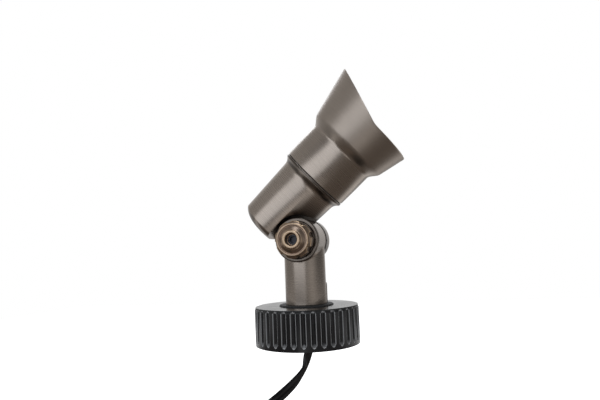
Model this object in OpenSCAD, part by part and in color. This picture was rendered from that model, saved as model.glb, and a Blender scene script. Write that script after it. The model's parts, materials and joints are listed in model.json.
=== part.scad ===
// Landscape flood light on a ribbed stake cap.
// Millimetres, Z up. The origin is the centre of the cap's lower rim, the knob is on the -Y side
// and the head points up towards +X.

/* [Stake cap] */
// Outside diameter of the cap over its lands
cap_d = 84; // [76:1:100]
// Height of the cap
cap_h = 30; // [28:1:45]
// Wall left between a flute and the inside of the skirt
cap_wall = 2.4; // [2:0.1:4]
// Thickness of the cap's flat top
cap_top_t = 4; // [3:0.5:6]
// Rounding of the cap's top edge
cap_edge_r = 1; // [0.4:0.1:1.4]
// Number of flutes round the cap
flute_count = 35; // [20:1:36]
// Width of a flute at its mouth
flute_w = 4.2; // [2:0.1:4.6]
// Depth of a flute
flute_depth = 1.6; // [0.8:0.1:2]
// Plain band left under the flutes
flute_foot = 2.4; // [1:0.1:4]
// Plain edge left over the flutes
flute_head = 1.2; // [1:0.1:3]
// Diameter of the hub under the cap's top
hub_d = 31; // [28:0.5:36]
// Height of the hub under the cap's top
hub_h = 6; // [3:0.5:7]

/* [Base joint] */
// Diameter of the gasket between the stem and the cap
gasket_d = 44; // [38:0.5:50]
// Thickness of that gasket
gasket_t = 1; // [0.6:0.1:2]
// Outside diameter of the threaded nipple
nipple_d = 21.3; // [19:0.1:22]
// Bore of the nipple
nipple_bore_d = 15; // [13:0.5:16.5]
// Length of nipple screwed into the stem
nipple_grip = 12; // [8:0.5:16]
// Length of nipple left free under the lock nut
nipple_free = 5; // [4:0.5:7]
// Width across the flats of the lock nut
lock_nut_af = 28; // [26:0.5:30]
// Height of the lock nut
lock_nut_h = 6; // [4:0.5:7]
// Outside diameter of the lock washer
lock_washer_d = 28; // [25:0.5:30]
// Thickness of the lock washer
lock_washer_t = 1.2; // [0.8:0.1:2]

/* [Stem] */
// Diameter of the stem
stem_d = 33.2; // [31:0.2:34.4]
// Height from the stem's foot to the pivot
stem_h = 51.2; // [48:0.2:80]
// Diameter of the splice chamber in the stem
chamber_d = 25; // [22:0.5:27]
// Height of the splice chamber
chamber_h = 15; // [12:0.5:17]
// Width of the raised pad at the stem's foot
pad_w = 17; // [12:0.5:20]
// Height of the raised pad
pad_h = 17; // [13:0.5:22]
// How far the pad stands out of the stem
pad_out = 0.9; // [0.5:0.1:2]
// Turn of the pad round the stem from +X towards +Y
pad_turn = 45; // [20:1:160]
// Diameter of the set screw in the pad
set_screw_d = 5; // [4:0.5:6]

/* [Knuckle] */
// Diameter of the stem's ear
near_ear_d = 34.8; // [34.6:0.1:36]
// Diameter of the head's ear
far_ear_d = 35.8; // [33:0.1:36]
// Distance from the stem's axis to the plane where the ears meet
ear_plane = 6; // [5:0.2:7]
// Distance from the stem's axis to the near ear's outer face
near_ear_out = 20.6; // [18:0.2:24]
// Thickness of the head's ear
far_ear_t = 12.3; // [12:0.1:15]
// Gap between the two ears
ear_gap = 0.2; // [0.1:0.1:0.4]
// Room left round a turning ear
ear_clear = 1.1; // [0.8:0.1:2]
// Diameter of the relief pocket in the head
relief_d = 40; // [37.2:0.1:41]
// Diameter of the wire chamber in the ears
wire_chamber_d = 19; // [16:0.5:20]
// Diameter of the pivot bolt
bolt_d = 8; // [6:0.5:8]
// Width across the flats of the bolt's head
bolt_head_af = 13; // [11:0.5:13]
// Height of the bolt's head
bolt_head_h = 4.6; // [3:0.1:5]

/* [Clamp knob] */
// Diameter of the disc under the knob
disc_d = 34.8; // [30:0.2:38]
// Thickness of that disc
disc_t = 2.8; // [2:0.1:4]
// Diameter over the knob's lobes
knob_d = 28.8; // [26:0.2:32]
// Diameter of the bead round the knob's face
knob_bead_d = 25; // [22:0.2:25.6]
// Thickness of the knob from the disc to the bead
knob_t = 13; // [11:0.2:16]
// Height of the coned face over the bead
knob_cone_h = 2.4; // [1.5:0.1:4]
// Diameter of the knob's centre boss
knob_boss_d = 14; // [12:0.2:16]
// Height of the boss over the cone
knob_boss_h = 1.9; // [1:0.1:4]
// Diameter of the hole in the boss
knob_hole_d = 9; // [8.6:0.1:10]
// Number of lobes on the knob
lobe_count = 8; // [5:1:10]
// Diameter of a scallop between two lobes
scallop_d = 5.6; // [4:0.2:7]

/* [Head] */
// Tilt of the head over the horizontal
head_tilt = 41.84; // [35:0.01:50]
// Distance from the pivot to the head's axis
head_offset = 30; // [29:0.1:34]
// Length of the housing behind the pivot
rear_len = 16.8; // [14:0.1:18]
// Length of the housing from the pivot to its joint
housing_len = 42.3; // [40:0.1:60]
// How much the housing's diameter grows from its rear edge to its cove
housing_taper = 3.4; // [0:0.2:5]
// How much the diameter grows over the cove
cove_rise = 7.2; // [5:0.1:9]
// Rounding of the housing's rear edge
rear_edge_r = 9; // [2:0.1:10]
// Length of the cove behind the joint
cove_len = 7.2; // [5:0.1:9]
// Outside diameter of the head at its joint
joint_d = 60; // [59:0.1:64]
// Width of the rim at the joint
rim_w = 2.1; // [1.5:0.1:3]
// Gap left at the joint for the seal
joint_gap = 0.8; // [0.5:0.1:1.2]
// How much smaller the threaded spigot is than the joint
spigot_step = 5.6; // [5:0.1:6.6]
// Length of the threaded spigot
spigot_len = 11; // [8:0.5:14]
// How much smaller the lamp chamber is than the spigot
lamp_chamber_step = 8.4; // [7.4:0.1:14]

/* [Glare hood] */
// Length of the collar
collar_len = 29.3; // [27:0.1:36]
// How much the collar's diameter grows from the joint to its front
collar_grow = 0.5; // [0:0.1:3]
// Length of the neck between the collar and the flare
neck_len = 9.6; // [8:0.1:14]
// How much the diameter grows over the neck
flare_grow = 11.2; // [8:0.1:15]
// Length of the flare to its square lower edge
flare_len = 22.3; // [15:0.1:30]
// Half angle of the flare
flare_angle = 12.91; // [8:0.01:15]
// Wall of the flare
flare_wall = 1.8; // [1.4:0.1:3]
// Distance of the mouth's corner below the axis
mouth_drop = 14; // [0:0.5:20]
// Slant of the mouth's upper part from square
mouth_slant = 18; // [0:0.5:24]
// How much smaller the opening in front of the lens is than the lens
aperture_lip = 3.6; // [3:0.2:7]

/* [Lens and lamp] */
// Room left round the lens for its gasket
lens_room = 1.1; // [0.9:0.1:1.6]
// Thickness of the lens
lens_t = 3; // [2:0.1:4]
// How much smaller the lamp's front is than the lens
lamp_step = 1; // [0.6:0.1:5]
// Length of the reflector
lamp_len = 30; // [26:0.5:32]
// Height of the lamp's base block
lamp_base_h = 12; // [9:0.5:13]
// Length of the lamp's pins
pin_len = 7; // [5:0.5:8]
// Distance between the lamp's pins
pin_pitch = 5.3; // [4:0.1:6.4]
// Diameter of a lamp pin
pin_d = 1.5; // [1:0.1:1.6]
// Diameter of the lamp's socket
socket_d = 20; // [18:0.5:22]
// Thickness of the socket
socket_t = 11.1; // [10:0.1:12]

/* [Cord] */
// Width of the flat cord
cord_w = 7.6; // [5:0.1:8]
// Thickness of the flat cord
cord_t = 3.8; // [2.6:0.1:4]
// Diameter of the insulated leads inside
lead_d = 2.6; // [1.6:0.1:3]

/* [Hidden] */
$fn = 96;

// Overrun of every cut, and the clearances of every fit
over = 1;
thread_clear = 0.05;
run_clear = 0.05;
seat_clear = 0.1;
slip_clear = 0.2;

// Cap
cap_r = cap_d / 2;
skirt_r = cap_r - flute_depth - cap_wall;
roof_z = cap_h - cap_top_t;
hub_z = roof_z - hub_h;
flute_end_h = 4;
flute_floor_share = 0.3;
flute_point_share = 0.72;
flute_lap = 0.5;
flute_phase = -100;
skirt_edge_r = 0.8;

// Base joint
washer_z = hub_z - lock_washer_t;
nut_z = washer_z - lock_nut_h;
nipple_z = nut_z - nipple_free;
stem_z = cap_h + gasket_t;
nipple_top_z = stem_z + nipple_grip;
gasket_edge = 0.7;
nut_edge_share = 0.12;

// Strain relief at the foot of the nipple
grip_plug_h = 8;
grip_flange_h = 1.5;
grip_flange_w = 1.8;
grip_boot_top_d = 14;
grip_boot_end_d = 9.6;
grip_end_z = -6;

// Stem
stem_r = stem_d / 2;
pivot_z = stem_z + stem_h;
near_ear_r = near_ear_d / 2;
far_ear_r = far_ear_d / 2;
chamber_z = nipple_top_z + over;
chamber_top_z = chamber_z + chamber_h;
splice_share = 0.3;
splice_low_share = 0.1;
splice_high_share = 0.7;
splice_d = chamber_d * splice_share;
splice_z = chamber_z + chamber_h * splice_low_share;
splice_top_z = chamber_z + chamber_h * splice_high_share;
wire_bore_d = 5;
bend_share = 1.03;
wire_chamber_h = 6;
lead_bend_h = 2.6;
lead_entry_h = 1.5;
pad_corner_r = 3;
set_screw_z = stem_z + nipple_grip / 2;
set_screw_sink = 0.6;
screw_socket_share = 0.5;
screw_socket_h = 2;
ear_edge_r = 0.8;

// Knuckle, as distances along the pivot from the stem's axis towards the knob
far_face = -ear_plane - ear_gap;
far_out = far_face - far_ear_t;
bolt_seat = far_out + bolt_head_h + slip_clear;
far_chamber_h = 5;
disc_face = near_ear_out + seat_clear;
disc_front = disc_face + disc_t;
disc_edge_r = 0.9;
disc_dish = 0.6;
disc_lip_w = 2.2;
knob_back = disc_front + seat_clear;
knob_hub_h = 2.8;
knob_hub_share = 0.66;
knob_shoulder_h = 8;
knob_edge = 0.8;
bead_z = knob_back + knob_t;
bead_r = 0.9;
bead_sweep = 120;
boss_z = bead_z + knob_cone_h;
knob_top = boss_z + knob_boss_h;
hole_depth = 6.8;
hole_floor = knob_top - hole_depth;
bolt_end = hole_floor + slip_clear;
boss_edge_r = 0.9;
bolt_socket_share = 0.62;
bolt_socket_h = 3;
scallop_out_share = 0.24;
scallop_top_h = 12;
lobe_phase = 13;
pivot_ring_d = 1.6;
pivot_ring_out = 1.9;
pivot_ring_r = wire_chamber_d / 2 + pivot_ring_out;
pivot_ring_p = far_face + ear_gap / 2 - pivot_ring_d / 2;
pivot_groove_d = pivot_ring_d + 2 * run_clear;

// Head, as distances along its axis from the foot of the pivot
joint_s = housing_len;
cove_s = joint_s - rim_w - cove_len;
joint_r = joint_d / 2;
housing_front_r = (joint_d - cove_rise) / 2;
rear_r = housing_front_r - housing_taper / 2;
spigot_r = (joint_d - spigot_step) / 2;
lamp_chamber_r = spigot_r - lamp_chamber_step / 2;
slot_inset = 0.45;
cove_end_slope = 1.3;
rim_edge = 0.3;
spigot_edge = 0.5;
spigot_wall = 2.4;
spigot_bore_r = spigot_r - spigot_wall;
spigot_s = joint_s + spigot_len;
socket_room_d = 25;
lead_room_d = 17;
lead_bore_x = 2.4;
lead_y = -far_face + wire_bore_d / 2 + over;
cross_share = 0.9;
head_ring_d = 1.5;
head_ring_r = spigot_r + head_ring_d / 2 + run_clear;
head_groove_h = head_ring_d / 2;
head_groove_r = head_ring_r + head_ring_d / 2 + run_clear;

// Collar, neck and flare
collar_s = joint_s + joint_gap;
neck_s = collar_s + collar_len;
flare_s = neck_s + neck_len;
mouth_s = flare_s + flare_len;
collar_r = (joint_d + collar_grow) / 2;
flare_r = collar_r + flare_grow / 2;
flare_slope = tan(flare_angle);
collar_bulge = 0.15;
mouth_reach = 24;
tip_s = mouth_s + mouth_reach;
collar_bore_r = spigot_r + thread_clear;
lens_bore_step = 0.65;
lens_bore_r = collar_bore_r - lens_bore_step;
shoulder_t = 2.5;
shoulder_back = 3.4;
shoulder_s = flare_s - shoulder_back;
lens_seat_s = shoulder_s - shoulder_t;
lens_bore_len = 12;

// Lens pack
lens_r = lens_bore_r - lens_room;
aperture_r = lens_r - aperture_lip / 2;
gasket_lip = 0.8;
gasket_gap = 0.05;
lens_front_s = lens_seat_s - seat_clear - gasket_lip;
lens_back_s = lens_front_s - lens_t;
retainer_s = lens_back_s - gasket_lip;
retainer_t = 3.6;
retainer_wall = 1.9;

// Lamp
lamp_gap = 0.6;
lamp_front_s = retainer_s - retainer_t - lamp_gap;
lamp_r = lens_r - lamp_step / 2;
lamp_glass_t = 1.4;
lamp_rim_t = 3;
lamp_lip = 0.7;
lamp_wall = 1.2;
lamp_neck_s = lamp_front_s - lamp_len;
lamp_neck_d = 17;
lamp_base_s = lamp_neck_s - lamp_base_h;
lamp_base_w = 14;
lamp_base_depth = 10;
capsule_d = 8;
capsule_len = 14;
pin_hole_clear = 0.1;
socket_s = lamp_base_s - seat_clear;
socket_floor_s = socket_s - socket_t;
contact_w = 3;
contact_t = 1.2;
contact_clear = 0.06;
socket_screw_d = 3;
socket_screw_pitch = 14.6;
socket_screw_len = 6;
socket_screw_head_d = 4.6;
socket_screw_head_h = 1.6;

// Rooms in the housing behind the lamp
lamp_chamber_lift = 0.8;
lamp_chamber_s = lamp_base_s + lamp_chamber_lift;
lead_room_h = 12;
lead_room_s = socket_floor_s - lead_room_h;
lead_bore_s = lead_room_s + wire_bore_d / 2;
lead_r = 1.05;
lead_step = 1.1;
lead_drop = 4.2;

// Cord route, from the strain relief's end to the start of the coil
cord_points = [[0, 0, -6], [-0.1, 0, -8], [-1, 0, -11], [-2, -0.6, -15], [-3.3, -2, -19.4],
    [-5.6, -5, -23.4], [-8.4, -9, -27.2], [-11.6, -14, -30.6], [-15.2, -19.2, -33.8],
    [-19, -25, -36.8], [-23.5, -31.2, -40], [-28.6, -38, -43.6], [-34.2, -45, -47.6],
    [-40.2, -52, -51.8], [-47, -58.6, -56], [-54.6, -64.8, -60.2], [-62.6, -69.4, -63.7],
    [-70.6, -71.6, -65.6], [-77, -72, -66.1], [-82, -72, -66.1]];
// The way that the cord's flat side faces at each of those points
cord_faces = [[0.75, -0.66, 0], [0.75, -0.66, 0], [0.8, -0.6, 0], [0.9, -0.4, -0.1], [0.95, -0.2, -0.3],
    [0.9, -0.3, -0.2], [0.8, -0.45, 0.1], [0.7, -0.55, 0.3], [0.65, -0.6, 0.45],
    [0.6, -0.6, 0.5], [0.55, -0.55, 0.6], [0.5, -0.5, 0.7], [0.4, -0.4, 0.8],
    [0.3, -0.3, 0.9], [0.2, -0.2, 1], [0.1, -0.1, 1], [0, 0, 1],
    [0, 0, 1], [0, 0, 1], [0, 0, 1]];
cord_outline_shares = [[1, 0], [0.86, 0.7], [0.5, 1], [0, 0.5], [-0.5, 1], [-0.86, 0.7], [-1, 0],
    [-0.86, -0.7], [-0.5, -1], [0, -0.5], [0.5, -1], [0.86, -0.7]];
loop_outline_shares = [[1, 0], [0.5, 1], [-0.5, 1], [-1, 0], [-0.5, -1], [0.5, -1]];

// Coil of the length that is put away
coil_centre = [-90, -24];
coil_out_r = 48;
coil_z = -66.1;
coil_pitch = 9;
coil_layer = 5;
turns_in = 2;
climb = 0.25;
turns_back = 1.12;
coil_step = 15;
tie_w = 3;
tie_t = 0.8;
tie_turn = -104;
tail_len = 30;
tail_gap = 1;
strip_len = 10;
strand_d = 1.5;

// Placing

// Stands its children in the pivot's frame: local Z runs along the pivot towards the knob
module at_pivot() {
    translate([0, 0, pivot_z]) rotate([90, 0, 0]) children();
}

// Stands its children in the head's frame: local Z runs along the head, local X towards the pivot
module in_head() {
    translate([0, 0, pivot_z]) rotate([0, 90 - head_tilt, 0]) translate([-head_offset, 0, 0]) children();
}

// Stands the pivot's frame inside the head's frame
module head_pivot() {
    translate([head_offset, 0, 0]) rotate([90, 0, 0]) children();
}

// Shared shapes

// Cubic curve from y0 to y1 over a run, with slopes m0 and m1 at its ends, at share t
function blend(t, y0, y1, m0, m1, run) =
    (2 * pow(t, 3) - 3 * pow(t, 2) + 1) * y0 + (pow(t, 3) - 2 * pow(t, 2) + t) * run * m0
    + (3 * pow(t, 2) - 2 * pow(t, 3)) * y1 + (pow(t, 3) - pow(t, 2)) * run * m1;

// Points of a quarter or other arc about a centre
function arc(centre, r, from, to, steps) =
    [for (i = [0:steps]) let (a = from + (to - from) * i / steps) centre + r * [cos(a), sin(a)]];

// Round bar or bore from one distance to another along local Z
module bar(r, from, to) {
    translate([0, 0, from]) cylinder(h = to - from, r = r);
}

// Flat ring from one distance to another along local Z
module ring(r_out, r_in, from, to) {
    difference() {
        bar(r_out, from, to);
        bar(r_in, from - over, to + over);
    }
}

// Hexagon bar with a given width across its flats
module hex_bar(af, from, to) {
    translate([0, 0, from]) cylinder(h = to - from, r = af / 2 / cos(30), $fn = 6);
}

// Solid of revolution from points of radius and distance
module turned(points) {
    rotate_extrude() polygon(points);
}

// Round rod between two points
module rod(a, b, r) {
    d = b - a;
    translate(a) rotate([0, acos(d[2] / norm(d)), atan2(d[1], d[0])]) cylinder(h = norm(d), r = r, $fn = 24);
}

// Insulated wire through a list of points
module wire(points, r) {
    for (i = [0:len(points) - 2]) rod(points[i], points[i + 1], r);
    if (len(points) > 2)
        for (i = [1:len(points) - 2]) translate(points[i]) sphere(r = r * bend_share, $fn = 24);
}

// Stake cap

// Cuts one flute: its section, its side view with a sloped foot, and its pointed outline
module flute_cutter() {
    floor_x = cap_r - flute_depth;
    mouth_y = flute_w / 2;
    floor_y = mouth_y * flute_floor_share;
    spread = (mouth_y - floor_y) / flute_depth * over;
    low = flute_foot;
    high = cap_h - flute_head;
    slope = (flute_end_h + flute_lap) / flute_depth;
    shoulder = low + flute_end_h * flute_point_share;
    intersection() {
        translate([0, 0, low - over]) linear_extrude(high - low + 2 * over)
            polygon([[floor_x, -floor_y], [cap_r + over, -mouth_y - spread],
                [cap_r + over, mouth_y + spread], [floor_x, floor_y]]);
        translate([0, mouth_y + over, 0]) rotate([90, 0, 0]) linear_extrude(2 * (mouth_y + over))
            polygon([[floor_x - over, high + over], [floor_x - over, low + flute_end_h + over * slope],
                [cap_r + over, low - flute_lap - over * slope], [cap_r + over, high + over]]);
        rotate([90, 0, 90]) linear_extrude(cap_r + over)
            polygon(concat([[0, low], [mouth_y, shoulder]], arc([0, high - mouth_y], mouth_y, 0, 180, 8),
                [[-mouth_y, shoulder]]));
    }
}

module stake_cap() {
    color("#1c1c1d") difference() {
        turned(concat([[0, 0], [cap_r, 0]],
            arc([cap_r - cap_edge_r, cap_h - cap_edge_r], cap_edge_r, 0, 90, 5), [[0, cap_h]]));
        difference() {
            bar(skirt_r, -over, roof_z);
            bar(hub_d / 2, hub_z, roof_z + over);
        }
        bar(nipple_d / 2 + slip_clear, -over, cap_h + over);
        turned([[skirt_r - over, -over], [skirt_r + skirt_edge_r + over, -over], [skirt_r, skirt_edge_r],
            [skirt_r - over, skirt_edge_r]]);
        for (i = [0:flute_count - 1]) rotate(flute_phase + i * 360 / flute_count) flute_cutter();
    }
}

module base_gasket() {
    color("#111112") difference() {
        turned([[0, cap_h], [gasket_d / 2, cap_h], [gasket_d / 2, cap_h + gasket_t - gasket_edge],
            [gasket_d / 2 - gasket_edge, cap_h + gasket_t], [0, cap_h + gasket_t]]);
        bar(nipple_d / 2 + slip_clear, cap_h - over, stem_z + over);
    }
}

// Base joint

module threaded_nipple() {
    color("#a08a5a") ring(nipple_d / 2, nipple_bore_d / 2, nipple_z, nipple_top_z);
}

module lock_washer() {
    color("#b8b8b4") ring(lock_washer_d / 2, nipple_d / 2 + slip_clear, washer_z, hub_z);
}

module lock_nut() {
    edge = lock_nut_h * nut_edge_share;
    outer = lock_nut_af / 2 / cos(30);
    color("#a08a5a") difference() {
        intersection() {
            hex_bar(lock_nut_af, nut_z, washer_z);
            turned([[0, nut_z], [outer - edge * 2, nut_z], [outer, nut_z + edge], [outer, washer_z],
                [0, washer_z]]);
        }
        bar(nipple_d / 2 + thread_clear, nut_z - over, washer_z + over);
    }
}

module cord_grip() {
    plug_r = nipple_bore_d / 2 - run_clear;
    flange_r = plug_r + grip_flange_w;
    flange_z = nipple_z - grip_flange_h;
    color("#141414") turned([[0, grip_end_z], [grip_boot_end_d / 2, grip_end_z],
        [grip_boot_top_d / 2, flange_z], [flange_r, flange_z], [flange_r, nipple_z], [plug_r, nipple_z],
        [plug_r, nipple_z + grip_plug_h], [0, nipple_z + grip_plug_h]]);
}

// Stem

module pad() {
    rotate(pad_turn) intersection() {
        bar(stem_r + pad_out, stem_z, stem_z + pad_h);
        rotate([90, 0, 90]) linear_extrude(stem_r + pad_out + over)
            offset(r = pad_corner_r, $fn = 32) offset(delta = -pad_corner_r)
            translate([-pad_w / 2, stem_z - pad_h]) square([pad_w, 2 * pad_h]);
    }
}

module stem() {
    color("#6e6760") difference() {
        union() {
            bar(stem_r, stem_z, pivot_z);
            pad();
            at_pivot() turned(concat([[0, -ear_plane], [near_ear_r, -ear_plane]],
                arc([near_ear_r - ear_edge_r, near_ear_out - ear_edge_r], ear_edge_r, 0, 90, 3),
                [[0, near_ear_out]]));
        }
        at_pivot() bar(far_ear_r + ear_clear, -stem_d, -ear_plane);
        at_pivot() bar(bolt_d / 2 + run_clear, -stem_d, near_ear_out + over);
        at_pivot() bar(wire_chamber_d / 2, -ear_plane - over, -ear_plane + wire_chamber_h);
        bar(nipple_d / 2 + thread_clear, stem_z - over, chamber_z + over);
        bar(chamber_d / 2, chamber_z, chamber_top_z);
        translate([0, ear_plane - wire_chamber_h / 2, 0])
            bar(wire_bore_d / 2, chamber_top_z - over, pivot_z - bolt_d / 2);
        rotate(pad_turn) translate([0, 0, set_screw_z]) rotate([0, 90, 0])
            bar(set_screw_d / 2 + thread_clear, nipple_d / 2, stem_r + pad_out + over);
    }
}

module stem_set_screw() {
    tip = nipple_d / 2 + seat_clear;
    face = stem_r + pad_out - set_screw_sink;
    color("#8f8f8c") rotate(pad_turn) translate([0, 0, set_screw_z]) rotate([0, 90, 0]) difference() {
        bar(set_screw_d / 2, tip, face);
        hex_bar(set_screw_d * screw_socket_share, face - screw_socket_h, face + over);
    }
}

// The leads from the strain relief to the splices, and on to the ears
module stem_leads() {
    low_z = nipple_z + grip_plug_h;
    x = splice_d / 2 + slip_clear;
    bore_x = wire_bore_d / 4;
    bore_y = ear_plane - wire_chamber_h / 2;
    ear_z = pivot_z - (bolt_d + wire_chamber_d) / 4;
    color("#2a2a2a") for (side = [-1, 1]) {
        wire([[side * cord_t / 2, 0, low_z], [side * x, 0, splice_z]], lead_d / 2);
        wire([[side * x, 0, splice_top_z], [side * x, 0, chamber_top_z - lead_bend_h],
            [side * bore_x, bore_y, chamber_top_z - lead_entry_h], [side * bore_x, bore_y, ear_z],
            [side * bore_x, ear_plane, ear_z]], bore_x - run_clear);
    }
}

module splice_connectors() {
    for (side = [-1, 1]) translate([side * (splice_d / 2 + slip_clear), 0, 0])
        color("#303a5c") bar(splice_d / 2, splice_z, splice_top_z);
}

// Knuckle

module pivot_bolt() {
    color("#8c8c8a") in_head() head_pivot() difference() {
        union() {
            bar(bolt_d / 2, far_out + slip_clear, bolt_end);
            hex_bar(bolt_head_af, far_out + slip_clear, bolt_seat);
        }
        hex_bar(bolt_d * bolt_socket_share, bolt_end - bolt_socket_h, bolt_end + over);
    }
}

module pivot_o_ring() {
    color("#101010") at_pivot() translate([0, 0, pivot_ring_p])
        rotate_extrude() translate([pivot_ring_r, 0]) circle(d = pivot_ring_d, $fn = 32);
}

module clamp_washer() {
    r = disc_d / 2;
    hub_r = knob_d / 2 * knob_hub_share + disc_dish;
    bore_r = bolt_d / 2 + slip_clear;
    color("#80796f") at_pivot() turned(concat([[bore_r, disc_face]],
        arc([r - disc_edge_r, disc_face + disc_edge_r], disc_edge_r, -90, 0, 4),
        arc([r - disc_edge_r, disc_front - disc_edge_r], disc_edge_r, 0, 90, 4),
        [[r - disc_lip_w, disc_front], [r - disc_lip_w - disc_dish, disc_front - disc_dish],
        [hub_r + disc_dish, disc_front - disc_dish], [hub_r, disc_front], [bore_r, disc_front]]));
}

module clamp_knob() {
    r = knob_d / 2;
    hub_r = r * knob_hub_share;
    shoulder_z = knob_back + knob_hub_h;
    rim_r = knob_bead_d / 2 - bead_r;
    boss_r = knob_boss_d / 2;
    hole_r = knob_hole_d / 2;
    thread_r = bolt_d / 2 + thread_clear;
    color("#8a6f45") at_pivot() difference() {
        turned(concat([[thread_r, knob_back], [hub_r, knob_back], [hub_r, shoulder_z],
            [r - knob_edge, shoulder_z], [r, shoulder_z + knob_edge], [r, shoulder_z + knob_shoulder_h],
            [rim_r + bead_r, bead_z - bead_r]],
            arc([rim_r, bead_z - bead_r], bead_r, 0, bead_sweep, 6),
            [[boss_r + knob_edge, boss_z - knob_edge / 4], [boss_r, boss_z]],
            arc([boss_r - boss_edge_r, knob_top - boss_edge_r], boss_edge_r, 0, 90, 4),
            arc([hole_r + boss_edge_r, knob_top - boss_edge_r], boss_edge_r, 90, 180, 4),
            [[hole_r, hole_floor], [thread_r, hole_floor]]));
        for (i = [0:lobe_count - 1]) rotate(lobe_phase + i * 360 / lobe_count)
            translate([r + scallop_d * scallop_out_share, 0, 0])
            bar(scallop_d / 2, knob_back + knob_hub_h / 2, knob_back + scallop_top_h);
    }
}

// Head

function housing_outline() = concat(
    [[0, -rear_len]],
    arc([rear_r - rear_edge_r, rear_edge_r - rear_len], rear_edge_r, -90, 0, 6),
    [for (i = [0:8]) let (t = i / 8) [blend(t, housing_front_r, joint_r - rim_edge,
        (housing_front_r - rear_r) / (cove_s + rear_len), cove_end_slope, cove_len), cove_s + t * cove_len]],
    [[joint_r, joint_s - rim_w + rim_edge], [joint_r, joint_s - rim_edge], [joint_r - rim_edge, joint_s],
    [head_groove_r, joint_s], [head_groove_r, joint_s - head_groove_h], [spigot_r, joint_s - head_groove_h],
    [spigot_r, spigot_s - spigot_edge], [spigot_r - spigot_edge, spigot_s], [0, spigot_s]]);

module rear_housing() {
    color("#6e6760") in_head() difference() {
        union() {
            turned(housing_outline());
            head_pivot() turned(concat([[0, far_out]],
                arc([far_ear_r - ear_edge_r, far_out + ear_edge_r], ear_edge_r, -90, 0, 3),
                [[far_ear_r, far_face + over], [0, far_face + over]]));
        }
        head_pivot() bar(relief_d / 2, far_face, joint_d);
        head_pivot() translate([slot_inset - relief_d / 2, -rear_len - over, far_face])
            cube([relief_d, rear_len + over, joint_d]);
        head_pivot() bar(bolt_d / 2 + run_clear, far_out - over, far_face + over);
        head_pivot() hex_bar(bolt_head_af + 2 * slip_clear, far_out - over, bolt_seat);
        head_pivot() bar(wire_chamber_d / 2, far_face - far_chamber_h, far_face + over);
        head_pivot() ring(pivot_ring_r + pivot_groove_d / 2, pivot_ring_r - pivot_groove_d / 2,
            pivot_ring_p - pivot_groove_d / 2, far_face + over);
        bar(lamp_chamber_r, lamp_chamber_s, joint_s);
        bar(spigot_bore_r, joint_s - over, spigot_s + over);
        bar(socket_room_d / 2, socket_floor_s, lamp_chamber_s + over);
        bar(lead_room_d / 2, lead_room_s, socket_floor_s + over);
        for (side = [-1, 1]) translate([0, side * socket_screw_pitch / 2, 0])
            bar(socket_screw_d / 2 + thread_clear, socket_floor_s - socket_screw_len, socket_floor_s + over);
        translate([0, lead_y, lead_bore_s]) rotate([0, 90, 0])
            bar(wire_bore_d / 2, -over, head_offset - bolt_d / 2);
        translate([lead_bore_x, 0, lead_bore_s]) rotate([-90, 0, 0])
            bar(wire_bore_d / 2 * cross_share, 0, lead_y);
    }
}

module housing_o_ring() {
    color("#0e0e0e") in_head() translate([0, 0, joint_s - head_groove_h + head_ring_d / 2])
        rotate_extrude() translate([head_ring_r, 0]) circle(d = head_ring_d, $fn = 32);
}

// Lamp and its socket

module lamp_socket() {
    color("#e8e2d2") in_head() difference() {
        bar(socket_d / 2, socket_floor_s, socket_s);
        for (side = [-1, 1]) {
            translate([0, side * pin_pitch / 2, 0])
                bar(pin_d / 2 + pin_hole_clear, socket_floor_s + contact_w, socket_s + over);
            translate([-contact_w / 2, side * pin_pitch / 2 - contact_t / 2 - contact_clear,
                socket_floor_s - over])
                cube([contact_w, contact_t + 2 * contact_clear, contact_w + over]);
            translate([0, side * socket_screw_pitch / 2, 0]) {
                bar(socket_screw_d / 2 + slip_clear, socket_floor_s - over, socket_s + over);
                bar(socket_screw_head_d / 2 + slip_clear, socket_s - socket_screw_head_h - slip_clear,
                    socket_s + over);
            }
        }
    }
}

module socket_contacts() {
    for (side = [-1, 1]) color("#c7a35a") in_head()
        translate([slip_clear - contact_w / 2, side * pin_pitch / 2 - contact_t / 2, socket_floor_s])
        cube([contact_w - 2 * slip_clear, contact_t, contact_w - slip_clear]);
}

module socket_screws() {
    for (side = [-1, 1]) color("#b5b5b0") in_head() translate([0, side * socket_screw_pitch / 2, 0]) {
        bar(socket_screw_d / 2, socket_floor_s - socket_screw_len + slip_clear, socket_s - socket_screw_head_h);
        bar(socket_screw_head_d / 2, socket_s - socket_screw_head_h - slip_clear, socket_s - slip_clear);
    }
}

// The leads from the socket down to the ears
module socket_leads() {
    drop_s = socket_floor_s - lead_drop;
    foot = head_offset - (bolt_d + wire_chamber_d) / 4;
    color("#e9e4d8") in_head() for (side = [-1, 1])
        let (y = side * pin_pitch / 2, s = lead_bore_s + side * lead_step)
        wire([[0, y, socket_floor_s], [0, y, drop_s], [lead_bore_x, y / 2 + lead_step, s],
            [lead_bore_x, lead_y, s], [foot, lead_y, s]], lead_r);
}

module lamp_base() {
    color("#ded8c8") in_head() translate([-lamp_base_depth / 2, -lamp_base_w / 2, lamp_base_s])
        cube([lamp_base_depth, lamp_base_w, lamp_base_h]);
}

module lamp_pins() {
    for (side = [-1, 1]) color("#c9c9c4") in_head() translate([0, side * pin_pitch / 2, 0])
        bar(pin_d / 2, lamp_base_s - pin_len + over, lamp_base_s);
}

module lamp_capsule() {
    color("#dfe6ea") in_head() translate([0, 0, lamp_neck_s + lamp_wall]) {
        cylinder(h = capsule_len - capsule_d / 2, d = capsule_d, $fn = 32);
        translate([0, 0, capsule_len - capsule_d / 2]) sphere(d = capsule_d, $fn = 32);
    }
}

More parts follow.
